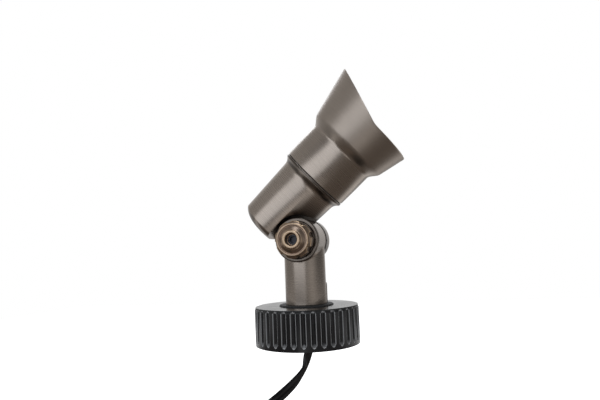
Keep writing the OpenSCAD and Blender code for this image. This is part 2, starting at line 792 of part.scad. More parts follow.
module lamp_reflector() {
    rim_s = lamp_front_s - lamp_rim_t;
    run = rim_s - lamp_neck_s;
    neck_r = lamp_neck_d / 2;
    bowl_r = lamp_r - lamp_wall;
    floor_s = lamp_neck_s + lamp_wall;
    // Radius of the bowl at a share of the way from neck to rim; its height grows with the share's square
    function bowl(t) = neck_r + (bowl_r - neck_r) * t;
    color("#b9c4cc") in_head() turned(concat([[0, lamp_neck_s]],
        [for (i = [0:8]) [bowl(i / 8), lamp_neck_s + run * pow(i / 8, 2)]],
        [[lamp_r, rim_s], [lamp_r, lamp_front_s], [lamp_r - lamp_lip, lamp_front_s],
        [lamp_r - lamp_lip, lamp_front_s - lamp_glass_t], [bowl_r - lamp_wall, lamp_front_s - lamp_glass_t]],
        [for (i = [8:-1:1]) [bowl(i / 8) - lamp_wall, floor_s + (run - lamp_wall) * pow(i / 8, 2)]],
        [[neck_r - lamp_wall, floor_s], [0, floor_s]]));
}

module lamp_front_glass() {
    color("#d7e3e8", 0.5) in_head()
        bar(lamp_r - lamp_lip - run_clear, lamp_front_s - lamp_glass_t, lamp_front_s);
}

// Lens pack

module lens_retainer() {
    color("#5a554f") in_head()
        ring(lens_bore_r - run_clear, lens_bore_r - retainer_wall, retainer_s - retainer_t, retainer_s);
}

module lens_gasket() {
    r_out = lens_bore_r - run_clear;
    r_in = aperture_r + gasket_lip / 2;
    r_lens = lens_r + gasket_gap;
    color("#1a1a1a") in_head() turned([[r_in, retainer_s], [r_out, retainer_s],
        [r_out, lens_front_s + gasket_lip], [r_in, lens_front_s + gasket_lip], [r_in, lens_front_s], [r_lens, lens_front_s], [r_lens, lens_back_s],
        [r_in, lens_back_s]]);
}

module lens() {
    color("#cfe0e4", 0.4) in_head() bar(lens_r, lens_back_s, lens_front_s);
}

// Glare hood

function hood_outer() = concat(
    [for (i = [0:6]) let (t = i / 6) [joint_r + (collar_r - joint_r) * t + collar_bulge * sin(180 * t),
        collar_s + t * collar_len]],
    [for (i = [1:10]) let (t = i / 10)
        [blend(t, collar_r, flare_r, 0, flare_slope, neck_len), neck_s + t * neck_len]],
    [[flare_r + flare_slope * (tip_s - flare_s), tip_s]]);

function hood_inner() = [
    [flare_r + flare_slope * (tip_s - flare_s) - flare_wall, tip_s],
    [flare_r - flare_wall, flare_s],
    [flare_r - flare_wall - shoulder_t, shoulder_s + over],
    [flare_r - flare_wall - shoulder_t - over, shoulder_s],
    [aperture_r, shoulder_s], [aperture_r, lens_seat_s], [lens_bore_r, lens_seat_s],
    [lens_bore_r, lens_seat_s - lens_bore_len], [collar_bore_r, lens_seat_s - lens_bore_len],
    [collar_bore_r, collar_s]];

module glare_hood() {
    big = 2 * tip_s;
    color("#746c64") in_head() difference() {
        turned(concat(hood_outer(), hood_inner()));
        intersection() {
            translate([-big / 2, -big / 2, mouth_s]) cube([big, big, big]);
            translate([mouth_drop, 0, mouth_s]) rotate([0, mouth_slant, 0])
                translate([-big / 2, -big / 2, 0]) cube([big, big, big]);
        }
    }
}

// Cord

function unit(v) = v / norm(v);

// Direction of the route at one of its points
function heading(points, i) = unit(points[min(i + 1, len(points) - 1)] - points[max(i - 1, 0)]);

// One ring of the flat tube: its outline laid across the route with its flat side to the face
function tube_ring(p, t, face, shares) =
    let (across = unit(cross(t, face)), flat = cross(across, t))
    [for (s = shares) p + s[0] * cord_w / 2 * across + s[1] * cord_t / 2 * flat];

// Flat tube through a list of points, closed by a fan at each end
module flat_tube(points, faces, shares) {
    n = len(shares);
    m = len(points);
    rings = [for (i = [0:m - 1]) each tube_ring(points[i], heading(points, i), faces[i], shares)];
    sides = [for (i = [0:m - 2]) for (k = [0:n - 1]) let (a = i * n + k, b = i * n + (k + 1) % n)
        each [[a, b, b + n], [a, b + n, a + n]]];
    first = [for (k = [0:n - 1]) [m * n, (k + 1) % n, k]];
    last = [for (k = [0:n - 1]) [m * n + 1, (m - 1) * n + k, (m - 1) * n + (k + 1) % n]];
    polyhedron(concat(rings, [points[0], points[m - 1]]), concat(sides, first, last));
}

// The coil's centre line: it winds in, climbs a layer where it reverses, and winds back out
coil_turns = turns_in + turns_back;
coil_in_r = coil_out_r - turns_in * coil_pitch;
function coil_radius(turn) = coil_in_r + abs(turn - turns_in) * coil_pitch;
function coil_rise(turn) = let (t = min(max((turn - turns_in) / climb + 0.5, 0), 1))
    coil_layer * (3 * pow(t, 2) - 2 * pow(t, 3));
function coil_point(turn) = let (a = -90 - 360 * turn, r = coil_radius(turn))
    [coil_centre[0] + r * cos(a), coil_centre[1] + r * sin(a), coil_z + coil_rise(turn)];
coil_count = floor(coil_turns * 360 / coil_step);
coil_arc = [for (i = [0:coil_count]) coil_point(i * coil_turns / coil_count)];
coil_end_way = unit(cross([0, 0, 1], coil_centre_way(coil_arc[coil_count])));
function coil_centre_way(p) = [coil_centre[0] - p[0], coil_centre[1] - p[1], 0];
coil_points = concat([cord_points[len(cord_points) - 1]], coil_arc,
    [coil_arc[coil_count] + cord_w * coil_end_way]);
function route_len(points) = len(points) < 2 ? 0
    : [for (i = [0:len(points) - 2]) norm(points[i + 1] - points[i])] * [for (i = [0:len(points) - 2]) 1];
cord_len = route_len(cord_points) + route_len(coil_points) + tail_len;

// Least distance between two turns of the coil, less the cord's own size
function turn_gap(i, j) = let (d = coil_points[j] - coil_points[i], flat = norm([d[0], d[1]]))
    max(flat - cord_w, abs(d[2]) - cord_t);
half_turn = 180 / coil_step;
coil_gap = min([for (i = [0:len(coil_points) - 1])
    for (j = [i + half_turn:1:len(coil_points) - 1]) turn_gap(i, j)]);
echo(cord_length = cord_len, coil_least_gap = coil_gap, coil_across = coil_out_r + coil_in_r);

module cord() {
    color("#161616") flat_tube(cord_points, cord_faces, cord_outline_shares);
}

module cord_coil() {
    color("#161616") flat_tube(coil_points, [for (p = coil_points) [0, 0, 1]], loop_outline_shares);
}

// A strap round all the turns at one place
module coil_tie() {
    inner = coil_in_r - cord_w / 2 - slip_clear;
    outer = coil_out_r + cord_w / 2 + slip_clear;
    low = coil_z - cord_t / 2;
    high = coil_z + coil_layer + cord_t / 2;
    color("#2b2b2b") translate([coil_centre[0], coil_centre[1], 0]) rotate(tie_turn)
        translate([0, tie_w / 2, 0]) rotate([90, 0, 0]) linear_extrude(tie_w) difference() {
            translate([inner - tie_t, low - tie_t])
                square([outer - inner + 2 * tie_t, high - low + 2 * tie_t]);
            translate([inner, low]) square([outer - inner, high - low]);
        }
}

// The two conductors parted at the cord's end, with their tinned strands
module lead_ends() {
    m = len(coil_points);
    start = coil_points[m - 1];
    t = heading(coil_points, m - 1);
    side = unit(cross(t, [0, 0, 1]));
    wire_r = cord_t / 2 * 0.92;
    for (k = [-1, 1]) {
        a = start + k * cord_w / 4 * side;
        b = a + t * (tail_len - strip_len) + k * tail_gap * side;
        color("#161616") rod(a, b, wire_r);
        color("#c9c6be") rod(b, b + t * strip_len, strand_d / 2);
    }
}

stake_cap();
base_gasket();
threaded_nipple();
lock_washer();
lock_nut();
cord_grip();
stem();
stem_set_screw();
stem_leads();
splice_connectors();
pivot_bolt();
pivot_o_ring();
clamp_washer();
clamp_knob();
rear_housing();
housing_o_ring();
lamp_socket();
socket_contacts();
socket_screws();
socket_leads();
lamp_base();
lamp_pins();
lamp_capsule();
lamp_reflector();
lamp_front_glass();
lens_retainer();
lens_gasket();
lens();
glare_hood();
cord();
cord_coil();
coil_tie();
lead_ends();
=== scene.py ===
"""Landscape flood light: the dressed pieces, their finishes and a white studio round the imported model."""
import json
import math

import bmesh
import bpy
import numpy as np
from bpy.props import FloatProperty, FloatVectorProperty, IntProperty, PointerProperty
from mathutils import Matrix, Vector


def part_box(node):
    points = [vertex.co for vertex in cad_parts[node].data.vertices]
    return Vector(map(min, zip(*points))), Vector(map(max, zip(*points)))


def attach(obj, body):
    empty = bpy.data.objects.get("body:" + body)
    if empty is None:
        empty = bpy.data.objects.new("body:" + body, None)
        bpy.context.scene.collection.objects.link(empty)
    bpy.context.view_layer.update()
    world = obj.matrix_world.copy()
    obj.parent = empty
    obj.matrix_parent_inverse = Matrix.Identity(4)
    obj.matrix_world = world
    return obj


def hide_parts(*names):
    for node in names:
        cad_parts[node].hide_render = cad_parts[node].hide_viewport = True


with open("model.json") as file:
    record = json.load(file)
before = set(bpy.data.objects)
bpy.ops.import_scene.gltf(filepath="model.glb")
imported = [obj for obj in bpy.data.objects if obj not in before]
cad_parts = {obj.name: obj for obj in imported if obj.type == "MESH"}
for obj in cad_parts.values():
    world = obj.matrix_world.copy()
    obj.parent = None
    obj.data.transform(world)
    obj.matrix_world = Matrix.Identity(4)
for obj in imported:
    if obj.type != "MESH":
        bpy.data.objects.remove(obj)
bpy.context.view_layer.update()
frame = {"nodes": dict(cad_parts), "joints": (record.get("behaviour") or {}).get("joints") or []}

bl_info = {
    "name": "Landscape Flood Light",
    "version": (1, 0, 0),
    "blender": (4, 5, 0),
    "location": "3D View > Sidebar > Flood Light",
    "description": "Dresses the packed flood light and sets it in a white studio",
    "category": "Object",
}

MM = 0.001
FULL_TURN = 2 * math.pi
JOINTS = {joint["name"]: joint for joint in frame["joints"]}
PIVOT = np.array(JOINTS["knuckle_tilt"]["pos_m"])
HEAD_FOOT = np.array(JOINTS["hood_turn"]["pos_m"])
HEAD_AXIS = np.array(JOINTS["hood_turn"]["axis"]) / np.linalg.norm(JOINTS["hood_turn"]["axis"])
ACROSS, SIDEWAYS, UP = np.eye(3)
HEAD_DOWN = np.array([HEAD_AXIS[2], 0.0, -HEAD_AXIS[0]])
ROUND_HEAD = (0, math.asin(HEAD_AXIS[2]) - math.pi / 2, 0)
ROUND_PIVOT = (math.radians(-90), 0, 0)


def length(name, description, millimetres):
    """Property for a length, stored in metres and given here in millimetres."""
    return FloatProperty(name=name, description=description, default=millimetres * MM, unit="LENGTH")


def tint(name, description, red, green, blue):
    """Property for a surface colour in linear light."""
    return FloatVectorProperty(name=name, description=description, default=(red, green, blue), size=3,
                               min=0.0, max=1.0, subtype="COLOR")


# Sizes and colours that a user would change

class FloodCapSizes(bpy.types.PropertyGroup):
    radius: length("Radius", "Radius of the cap over its lands", 42.0)
    height: length("Height", "Height of the cap", 30.0)
    skirt_radius: length("Skirt radius", "Inside radius of the skirt", 38.0)
    roof: length("Roof", "Height of the underside of the top", 26.0)
    hub_radius: length("Hub radius", "Radius of the hub under the top", 15.5)
    hub_drop: length("Hub drop", "Height of the hub", 6.0)
    bore_radius: length("Bore radius", "Radius of the hole for the nipple", 10.85)
    flutes: IntProperty(name="Flutes", description="Number of flutes round the cap", default=35, min=8)
    flute_width: length("Flute width", "Width of a flute at its mouth", 4.2)
    flute_floor: length("Flute floor", "Width of a flute at its floor", 1.2)
    flute_depth: length("Flute depth", "Depth of a flute", 1.6)
    flute_low: length("Flute foot", "Height where the flutes start", 2.4)
    flute_slope: length("Flute slope", "Height of the sloped foot of a flute", 4.0)
    flute_high: length("Flute head", "Height where the flutes' arches end", 28.8)
    flute_turn: FloatProperty(name="Flute turn", description="Angle of the first flute",
                              default=math.radians(-100.8), subtype="ANGLE")
    ledge: length("Ledge", "How far the top band stands back from the lands", 0.45)


class FloodStemSizes(bpy.types.PropertyGroup):
    foot: length("Foot", "Height of the stem's foot", 31.0)
    radius: length("Radius", "Radius of the stem", 16.6)
    pad_width: length("Pad width", "Width of the raised pad", 17.0)
    pad_height: length("Pad height", "Height of the raised pad", 17.0)
    pad_out: length("Pad step", "How far the pad stands out", 0.9)
    pad_turn: FloatProperty(name="Pad turn", description="Angle of the pad round the stem",
                            default=math.radians(45), subtype="ANGLE")
    screw_radius: length("Screw hole radius", "Radius of the set screw's hole", 2.55)
    ear_radius: length("Ear radius", "Radius of the stem's ear", 17.4)
    ear_plane: length("Mating plane", "Distance from the stem's axis to the plane where the ears meet", 6.0)
    ear_out: length("Ear face", "Distance from the stem's axis to the ear's outer face", 20.6)
    ear_relief: length("Ear relief", "Radius cleared for the head's ear", 19.0)


class FloodKnobSizes(bpy.types.PropertyGroup):
    radius: length("Radius", "Radius over the lobes", 14.4)
    lobes: IntProperty(name="Lobes", description="Number of lobes", default=8, min=3)
    lobe_turn: FloatProperty(name="Lobe turn", description="Angle of the first scallop",
                             default=math.radians(13), subtype="ANGLE")
    scallop_radius: length("Scallop radius", "Radius of a scallop", 2.8)


class FloodHeadSizes(bpy.types.PropertyGroup):
    rear: length("Rear length", "Length of the housing behind the pivot", 18.4)
    rear_edge: length("Rear edge", "Length behind the pivot where the crowned rear starts", 12.5)
    edge_radius: length("Edge radius", "Radius of the housing at its rear edge", 24.6)
    crown_angle: FloatProperty(name="Crown angle", description="How far the crowned rear leans at its edge",
                               default=math.radians(52), subtype="ANGLE")
    front_radius: length("Front radius", "Radius of the housing where its cove starts", 26.4)
    cove_start: length("Cove start", "Distance where the cove starts", 33.0)
    joint: length("Joint", "Distance from the pivot to the joint", 42.3)
    joint_radius: length("Joint radius", "Radius at the joint", 30.0)
    spigot_radius: length("Spigot radius", "Radius of the threaded spigot", 27.2)
    spigot: length("Spigot length", "Length of the threaded spigot", 11.0)
    pocket_radius: length("Pocket radius", "Radius of the relief pocket round the pivot", 20.0)
    slot: length("Slot", "Distance from the head's axis where the slot behind the pocket starts", 10.45)
    ear_radius: length("Ear radius", "Radius of the head's ear", 17.9)
    ear_thickness: length("Ear thickness", "Thickness of the head's ear", 12.3)


class FloodHoodSizes(bpy.types.PropertyGroup):
    collar: length("Collar start", "Distance from the pivot to the collar", 43.1)
    neck: length("Neck", "Distance where the collar ends", 72.4)
    flare: length("Flare", "Distance where the flare starts", 82.0)
    mouth: length("Mouth", "Distance of the mouth's square lower edge", 104.3)
    collar_radius: length("Collar radius", "Radius of the collar at its front", 30.25)
    flare_radius: length("Flare radius", "Radius of the flare at its base", 35.85)
    flare_angle: FloatProperty(name="Flare angle", description="Half angle of the flare",
                               default=math.radians(12.91), subtype="ANGLE")
    slant: FloatProperty(name="Mouth slant", description="Slant of the mouth's upper part",
                         default=math.radians(18), subtype="ANGLE")
    corner_drop: length("Corner drop", "Distance of the mouth's corner below the axis", 14.0)
    wall: length("Wall", "Wall of the flare", 1.8)
    aperture: length("Aperture", "Radius of the opening in front of the lens", 23.7)


class FloodCordSizes(bpy.types.PropertyGroup):
    width: length("Width", "Width of the flat cord", 7.6)
    thickness: length("Thickness", "Thickness of the flat cord", 3.8)
    coil_radius: length("Coil radius", "Radius of the coil's outermost turn", 48.0)
    coil_pitch: length("Coil pitch", "Distance between turns", 9.0)
    coil_layer: length("Coil layer", "Height of a layer of turns", 5.0)
    tail: length("Split end", "Length of the parted conductors", 30.0)
    strip: length("Bare end", "Length of the tinned strands", 10.0)


class FloodFinishes(bpy.types.PropertyGroup):
    metal: tint("Gunmetal", "Brushed gunmetal bronze", 0.415, 0.354, 0.303)
    brass: tint("Antique brass", "Darkened brass of the knob", 0.36, 0.27, 0.21)
    bright_brass: tint("Bright brass", "Rubbed edges of the knob", 0.74, 0.53, 0.32)
    plastic: tint("Cap plastic", "Black plastic of the cap", 0.006, 0.006, 0.0065)
    # Painted highlight colour for the lips, feet and heads of the cap's flutes
    plastic_highlight: tint("Plastic highlight", "Painted highlight on the cap's flute lips, feet and heads", 0.30, 0.30, 0.305)
    rubber: tint("Rubber", "Black rubber of the seals", 0.01, 0.01, 0.011)
    jacket: tint("Cord jacket", "Black vinyl of the cord", 0.007, 0.007, 0.0075)
    steel: tint("Zinc steel", "Zinc plated screws", 0.52, 0.52, 0.51)


GROUPS = {
    "cap": FloodCapSizes, "stem": FloodStemSizes, "knob": FloodKnobSizes, "head": FloodHeadSizes,
    "hood": FloodHoodSizes, "cord": FloodCordSizes, "finish": FloodFinishes,
}


def sizes(group):
    """The scene's settings of one group."""
    return getattr(bpy.context.scene, "flood_" + group)


# Where pieces stand

def placed(points, origin, first, second, third):
    """Points whose three coordinates are measured along three axes from an origin."""
    return origin + points[..., 0:1] * first + points[..., 1:2] * second + points[..., 2:3] * third


def on_pivot(points):
    """Points given along the pivot: x across, y up, z from the stem's axis out to the knob."""
    return placed(points, PIVOT, ACROSS, UP, -SIDEWAYS)


def on_head(points):
    """Points given along the head: z along its axis, x towards the pivot, y as it is."""
    return placed(points, HEAD_FOOT, HEAD_DOWN, SIDEWAYS, HEAD_AXIS)


def on_head_pivot(points):
    """Points given along the pivot and turned with the head: x down from its axis, y along it."""
    return placed(points, PIVOT, HEAD_DOWN, HEAD_AXIS, -SIDEWAYS)


# Outlines and grids

def mm(values):
    """Millimetres as an array in metres."""
    return np.array(values, float) * MM


def circle(count):
    """Even angles round a full turn."""
    return np.linspace(0, FULL_TURN, count, endpoint=False)


def around_axis(radius, angle, height):
    """Points round local Z, one for each radius, angle and height: x = r cos a, y = r sin a, z = height."""
    radius, angle, height = np.broadcast_arrays(radius, angle, height)
    return np.stack([radius * np.cos(angle), radius * np.sin(angle), height], axis=-1)


def ease(share):
    """Smooth step from 0 to 1: 3 s^2 - 2 s^3, with s held between them."""
    share = np.clip(share, 0, 1)
    return 3 * share ** 2 - 2 * share ** 3


def hermite(share, start, end, leave, arrive):
    """Cubic from start to end that leaves and arrives with the given slopes."""
    return ((2 * share ** 3 - 3 * share ** 2 + 1) * start + (share ** 3 - 2 * share ** 2 + share) * leave
            + (3 * share ** 2 - 2 * share ** 3) * end + (share ** 3 - share ** 2) * arrive)


def unit(vectors):
    """Vectors of length one."""
    return vectors / np.linalg.norm(vectors, axis=-1, keepdims=True)


def soften(corners, radii, steps=5):
    """Outline with each corner rounded: the arc touches both sides, and a point is held beside it.

    Each corner P is replaced by an arc from A to B of its radius, cut down where its sides are too short:
    ((1 - t)^2 A + 2 t (1 - t) w P + t^2 B) / ((1 - t)^2 + 2 t (1 - t) w + t^2), with w the cosine of half
    the turn. The second result is how much each point lies on an outward edge, from 0 to 1.
    """
    corners = np.asarray(corners, float)
    points = [corners[0]]
    wear_and_highlight = [0.0]
    for before, corner, after, radius in zip(corners[:-2], corners[1:-1], corners[2:], radii):
        into = (corner - before) / np.linalg.norm(corner - before)
        out = (after - corner) / np.linalg.norm(after - corner)
        turn = math.acos(float(np.clip(into @ out, -1, 1)))
        if radius <= 0 or turn < 0.02:
            points.append(corner)
            wear_and_highlight.append(0.0)
            continue
        reach = radius * math.tan(turn / 2)
        room = 0.45 * min(np.linalg.norm(corner - before), np.linalg.norm(after - corner))
        reach = min(reach, room)
        share = np.linspace(0, 1, steps + 1)[:, None]
        start = corner - reach * into
        end = corner + reach * out
        pull = 2 * share * (1 - share) * math.cos(turn / 2)
        bow = (1 - share) ** 2 * start + pull * corner + share ** 2 * end
        bow = bow / ((1 - share) ** 2 + pull + share ** 2)
        outward = 1.0 if into[0] * out[1] - into[1] * out[0] > 0 else 0.0
        points.append(start - 0.3 * reach * into)
        wear_and_highlight.append(0.0)
        points.extend(bow)
        wear_and_highlight.extend([outward] * len(bow))
        points.append(end + 0.3 * reach * out)
        wear_and_highlight.append(0.0)
    points.append(corners[-1])
    wear_and_highlight.append(0.0)
    return np.array(points), np.array(wear_and_highlight)


def spin(outline, around):
    """Outline of radius and height turned round local Z."""
    return around_axis(outline[:, :1], circle(around), outline[:, 1:2])


def quads(rows, columns, wrap_rows=False, wrap_columns=True):
    """Faces of a grid of points, rows first, joined round where it wraps."""
    index = np.arange(rows * columns).reshape(rows, columns)
    if wrap_rows:
        index = np.vstack([index, index[:1]])
    if wrap_columns:
        index = np.hstack([index, index[:, :1]])
    corners = [index[:-1, :-1], index[:-1, 1:], index[1:, 1:], index[1:, :-1]]
    return np.stack(corners, axis=-1).reshape(-1, 4)


def paint(mesh, name, values):
    """Writes one value for each point into an attribute of a mesh."""
    layer = mesh.attributes.new(name, "FLOAT", "POINT")
    layer.data.foreach_set("value", values.astype(np.float32))


def points_of(piece):
    """Places of a piece's points."""
    return np.array([vertex.co for vertex in piece.data.vertices])


def build(name, parts, sharp=35.0, merge=1e-7):
    """Mesh object of several point grids, with edges sharp past an angle.

    Each part is a dict: points (rows, columns, 3) in metres, wrap_rows, wrap_columns, caps (the rows to
    close with one face) and wear_and_highlight (rows or rows by columns), real wear and painted highlight.
    """
    points = []
    faces = []
    wear_and_highlight = []
    start = 0
    for part in parts:
        grid = part["points"]
        rows, columns = grid.shape[:2]
        points.append(grid.reshape(-1, 3))
        ring = quads(rows, columns, part.get("wrap_rows", False), part.get("wrap_columns", True)) + start
        faces.extend(ring.tolist())
        for row in part.get("caps", ()):
            line = np.arange(columns) + start + (row % rows) * columns
            faces.append((line if row == 0 else line[::-1]).tolist())
        amount = part.get("wear_and_highlight", np.zeros(rows))
        amount = amount[:, None] if amount.ndim == 1 else amount
        wear_and_highlight.append(np.broadcast_to(amount, (rows, columns)).reshape(-1))
        start += rows * columns
    mesh = bpy.data.meshes.new(name)
    mesh.from_pydata(np.concatenate(points).tolist(), [], faces)
    paint(mesh, "wear_and_highlight", np.concatenate(wear_and_highlight))
    piece = bpy.data.objects.new(name, mesh)
    bpy.context.scene.collection.objects.link(piece)
    tidy_mesh(piece, sharp, merge)
    return piece


def tidy_mesh(piece, sharp, merge=1e-7):
    """Joins doubled points, turns faces outwards and marks sharp edges."""
    mesh = piece.data
    work = bmesh.new()
    work.from_mesh(mesh)
    bmesh.ops.remove_doubles(work, verts=work.verts, dist=merge)
    bmesh.ops.dissolve_degenerate(work, edges=work.edges, dist=1e-8)
    bmesh.ops.recalc_face_normals(work, faces=work.faces)
    work.to_mesh(mesh)
    work.free()
    mesh.shade_smooth()
    mesh.set_sharp_from_angle(angle=math.radians(sharp))


def carve(piece, tool, operation="DIFFERENCE"):
    """Joins or cuts a piece with another mesh, which is then removed."""
    modifier = piece.modifiers.new("carve", "BOOLEAN")
    modifier.operation = operation
    modifier.solver = "EXACT"
    modifier.object = tool
    graph = bpy.context.evaluated_depsgraph_get()
    done = bpy.data.meshes.new_from_object(piece.evaluated_get(graph))
    spent = (piece.data, tool.data)
    piece.modifiers.clear()
    piece.data = done
    done.name = spent[0].name
    bpy.data.objects.remove(tool)
    for mesh in spent:
        bpy.data.meshes.remove(mesh)


def rod(name, radius, low, high, place, around):
    """Closed round bar along local Z, in metres."""
    outline = np.array([[radius, low], [radius, high]])
    return build(name, [{"points": place(spin(outline, around)), "caps": (0, -1)}])


def dress(piece, material, body, slot, *replaced):
    """Gives a piece its material and body and hides the nodes that it stands for. The slot is not used."""
    piece.data.materials.clear()
    piece.data.materials.append(material)
    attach(piece, body)
    if replaced:
        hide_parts(*replaced)
    return piece


# Finishes

class Nodes:
    """Builds a node tree, step by step."""

    def __init__(self, tree):
        self.nodes = tree.nodes
        self.links = tree.links

    def feed(self, socket, value):
        """Links an input from a socket, or gives it a value."""
        if isinstance(value, bpy.types.NodeSocket):
            self.links.new(value, socket)
        else:
            socket.default_value = value

    def node(self, kind, inputs=(), **settings):
        """New node with its settings and its inputs, which are given by name or number."""
        made = self.nodes.new(kind)
        for key, value in settings.items():
            setattr(made, key, value)
        for key, value in dict(inputs).items():
            self.feed(made.inputs[key], value)
        return made

    def math(self, operation, *values):
        """Result of one sum over sockets and numbers."""
        return self.node("ShaderNodeMath", enumerate(values), operation=operation).outputs[0]

    def mix(self, factor, first, second):
        """Mix of two shaders."""
        return self.node("ShaderNodeMixShader", {0: factor, 1: first, 2: second}).outputs[0]

    def by_ray(self, even, glossy, clear):
        """One shader for diffuse rays, one for reflections, and one for the camera and through glass."""
        rays = self.node("ShaderNodeLightPath").outputs
        direct = self.math("MAXIMUM", rays["Is Camera Ray"], rays["Is Transmission Ray"])
        return self.mix(direct, self.mix(rays["Is Glossy Ray"], even, glossy), clear)


class Finish(Nodes):
    """Builds one material round its own shader."""

    def __init__(self, name):
        self.material = bpy.data.materials.new(name)
        self.material.use_nodes = True
        super().__init__(self.material.node_tree)
        self.shader = self.nodes["Principled BSDF"]

    def set(self, **values):
        """Gives the shader's inputs, a low line standing for a space, their values or sockets."""
        for key, value in values.items():
            self.feed(self.shader.inputs[key.replace("_", " ")], value)

    def place(self, turn=(0, 0, 0), scale=(1, 1, 1), centre=(0, 0, 0)):
        """Object coordinates, moved to a centre, turned and scaled."""
        vector = self.node("ShaderNodeTexCoord").outputs["Object"]
        for socket, value in (("Location", [-c for c in centre]), ("Rotation", turn), ("Scale", scale)):
            vector = self.node("ShaderNodeMapping", {"Vector": vector, socket: value}).outputs["Vector"]
        return vector

    def noise(self, scale, detail=2.0, rough=0.5, turn=(0, 0, 0), centre=(0, 0, 0)):
        """Noise with one scale, or three along the turned axes, in features per metre."""
        scale = scale if isinstance(scale, tuple) else (scale,) * 3
        inputs = {"Vector": self.place(turn, scale, centre), "Scale": 1.0,
                  "Detail": detail, "Roughness": rough}
        return self.node("ShaderNodeTexNoise", inputs).outputs["Fac"]

    def mark(self, name):
        """Value of the piece's own attribute, 0 where it has none."""
        return self.node("ShaderNodeAttribute", attribute_name=name).outputs["Fac"]

    def ramp(self, factor, *stops):
        """Colours at places along a factor."""
        made = self.node("ShaderNodeValToRGB", {"Fac": factor})
        elements = made.color_ramp.elements
        while len(elements) < len(stops):
            elements.new(0.5)
        for element, (place, color) in zip(elements, stops):
            element.position = place
            element.color = (*color, 1.0)
        return made.outputs["Color"]

    def spread(self, factor, low, high):
        """Maps a factor from 0.3 to 0.7 onto a range."""
        inputs = {"Value": factor, "From Min": 0.3, "From Max": 0.7, "To Min": low, "To Max": high}
        return self.node("ShaderNodeMapRange", inputs).outputs["Result"]

    def blend(self, factor, first, second, **settings):
        """Mix of two colours, each a socket or three numbers."""
        inputs = {0: factor}
        for socket, value in ((6, first), (7, second)):
            inputs[socket] = value if isinstance(value, bpy.types.NodeSocket) else (*value, 1.0)
        return self.node("ShaderNodeMix", inputs, data_type="RGBA", **settings).outputs[2]

    def mottle(self, factor, color, low, high):
        """A colour that wanders between a darker and a lighter shade of itself."""
        return self.blend(self.spread(factor, 0.0, 1.0), shade(color, low), shade(color, high))

    def bump(self, height, strength, distance):
        """Fine relief, with its depth in metres."""
        inputs = {"Height": height, "Strength": strength, "Distance": distance}
        self.set(Normal=self.node("ShaderNodeBump", inputs).outputs["Normal"])


def shade(color, share):
    """A colour made lighter or darker."""
    return tuple(min(1.0, c * share) for c in color)


def brushed_metal(name, turn, centre, color, rough=(0.245, 0.30)):
    """Brushed metal whose fine lines run round an axis, with faint clouding, painted shade and worn edges.
    """
    finish = Finish(name)
    lines = finish.noise((60, 60, 9000), 3.0, 0.6, turn, centre)
    soft_lines = finish.noise((25, 25, 2200), 2.0, 0.5, turn, centre)
    body = finish.mottle(finish.noise(60), color, 0.93, 1.04)
    body = finish.blend(finish.spread(soft_lines, 0.0, 0.6), body, shade(color, 0.84))
    # Painted shade: the colour falls to a fifth where the piece marks shade.
    body = finish.blend(finish.mark("painted_shade"), body, shade(color, 0.2))
    body = finish.blend(finish.mark("wear_and_highlight"), body, shade(color, 1.25))
    gloss = finish.math("MULTIPLY_ADD", finish.mark("satin"), 0.12, finish.spread(lines, *rough))
    finish.set(Base_Color=body, Roughness=gloss, Metallic=1.0)
    finish.bump(lines, 0.04, 0.00004)
    return finish.material


def antique_brass(name, color, rubbed_and_highlight):
    """Darkened turned brass: fine rings round the pivot, dull flats and rubbed bright edges."""
    finish = Finish(name)
    rings = finish.noise((50, 50, 5000), 2.0, 0.6, ROUND_PIVOT, PIVOT)
    body = finish.mottle(finish.noise(220, 3.0, 0.6), color, 0.72, 1.1)
    finish.set(Base_Color=finish.blend(finish.mark("wear_and_highlight"), body, rubbed_and_highlight),
               Roughness=finish.spread(rings, 0.24, 0.36), Metallic=1.0)
    finish.bump(rings, 0.10, 0.00004)
    return finish.material


def black_plastic(name, color, rubbed_and_highlight):
    """Moulded black plastic with a faint grain, slow changes of gloss and a paler painted highlight."""
    finish = Finish(name)
    flow = finish.noise(70)
    body = finish.mottle(flow, color, 0.85, 1.25)
    # Painted highlight: paler colour where the cap marks its flutes' lips, feet and heads.
    finish.set(Base_Color=finish.blend(finish.mark("wear_and_highlight"), body, rubbed_and_highlight),
               Roughness=finish.spread(flow, 0.14, 0.21), IOR=1.45)
    finish.bump(finish.noise(2600, 2.0, 0.6), 0.05, 0.00004)
    return finish.material


def speckled(name, color, rough, spots, tones, relief, grain=None, metallic=0.0):
    """Material whose colour and gloss follow one noise, with relief from it or from a finer grain."""
    finish = Finish(name)
    factor = finish.noise(*spots)
    finish.set(Base_Color=finish.mottle(factor, color, *tones), Roughness=finish.spread(factor, *rough),
               Metallic=metallic)
    finish.bump(finish.noise(*grain) if grain else factor, *relief)
    return finish.material


def black_rubber(name, color, rough=(0.55, 0.7)):
    """Matt rubber or vinyl with a fine grain."""
    return speckled(name, color, rough, (160, 3.0, 0.6), (0.8, 1.5), (0.10, 0.00006), (1800, 2.0, 0.6))


def plated_steel(name, color, rough=(0.22, 0.38)):
    """Plated or turned metal with fine scratches."""
    scratches = ((400, 400, 3000), 3.0, 0.6)
    return speckled(name, color, rough, scratches, (0.8, 1.15), (0.08, 0.00004), metallic=1.0)


def fired_ceramic(name, color):
    """Fired ceramic with specks."""
    return speckled(name, color, (0.45, 0.62), (900, 3.0, 0.7), (0.9, 1.06), (0.12, 0.0001))


def clear_glass(name, rough):
    """Clear glass with a breath of haze."""
    finish = Finish(name)
    finish.set(Base_Color=(0.93, 0.97, 0.97, 1.0), Transmission_Weight=1.0, IOR=1.46,
               Roughness=finish.spread(finish.noise(120), rough, rough + 0.02))
    return finish.material


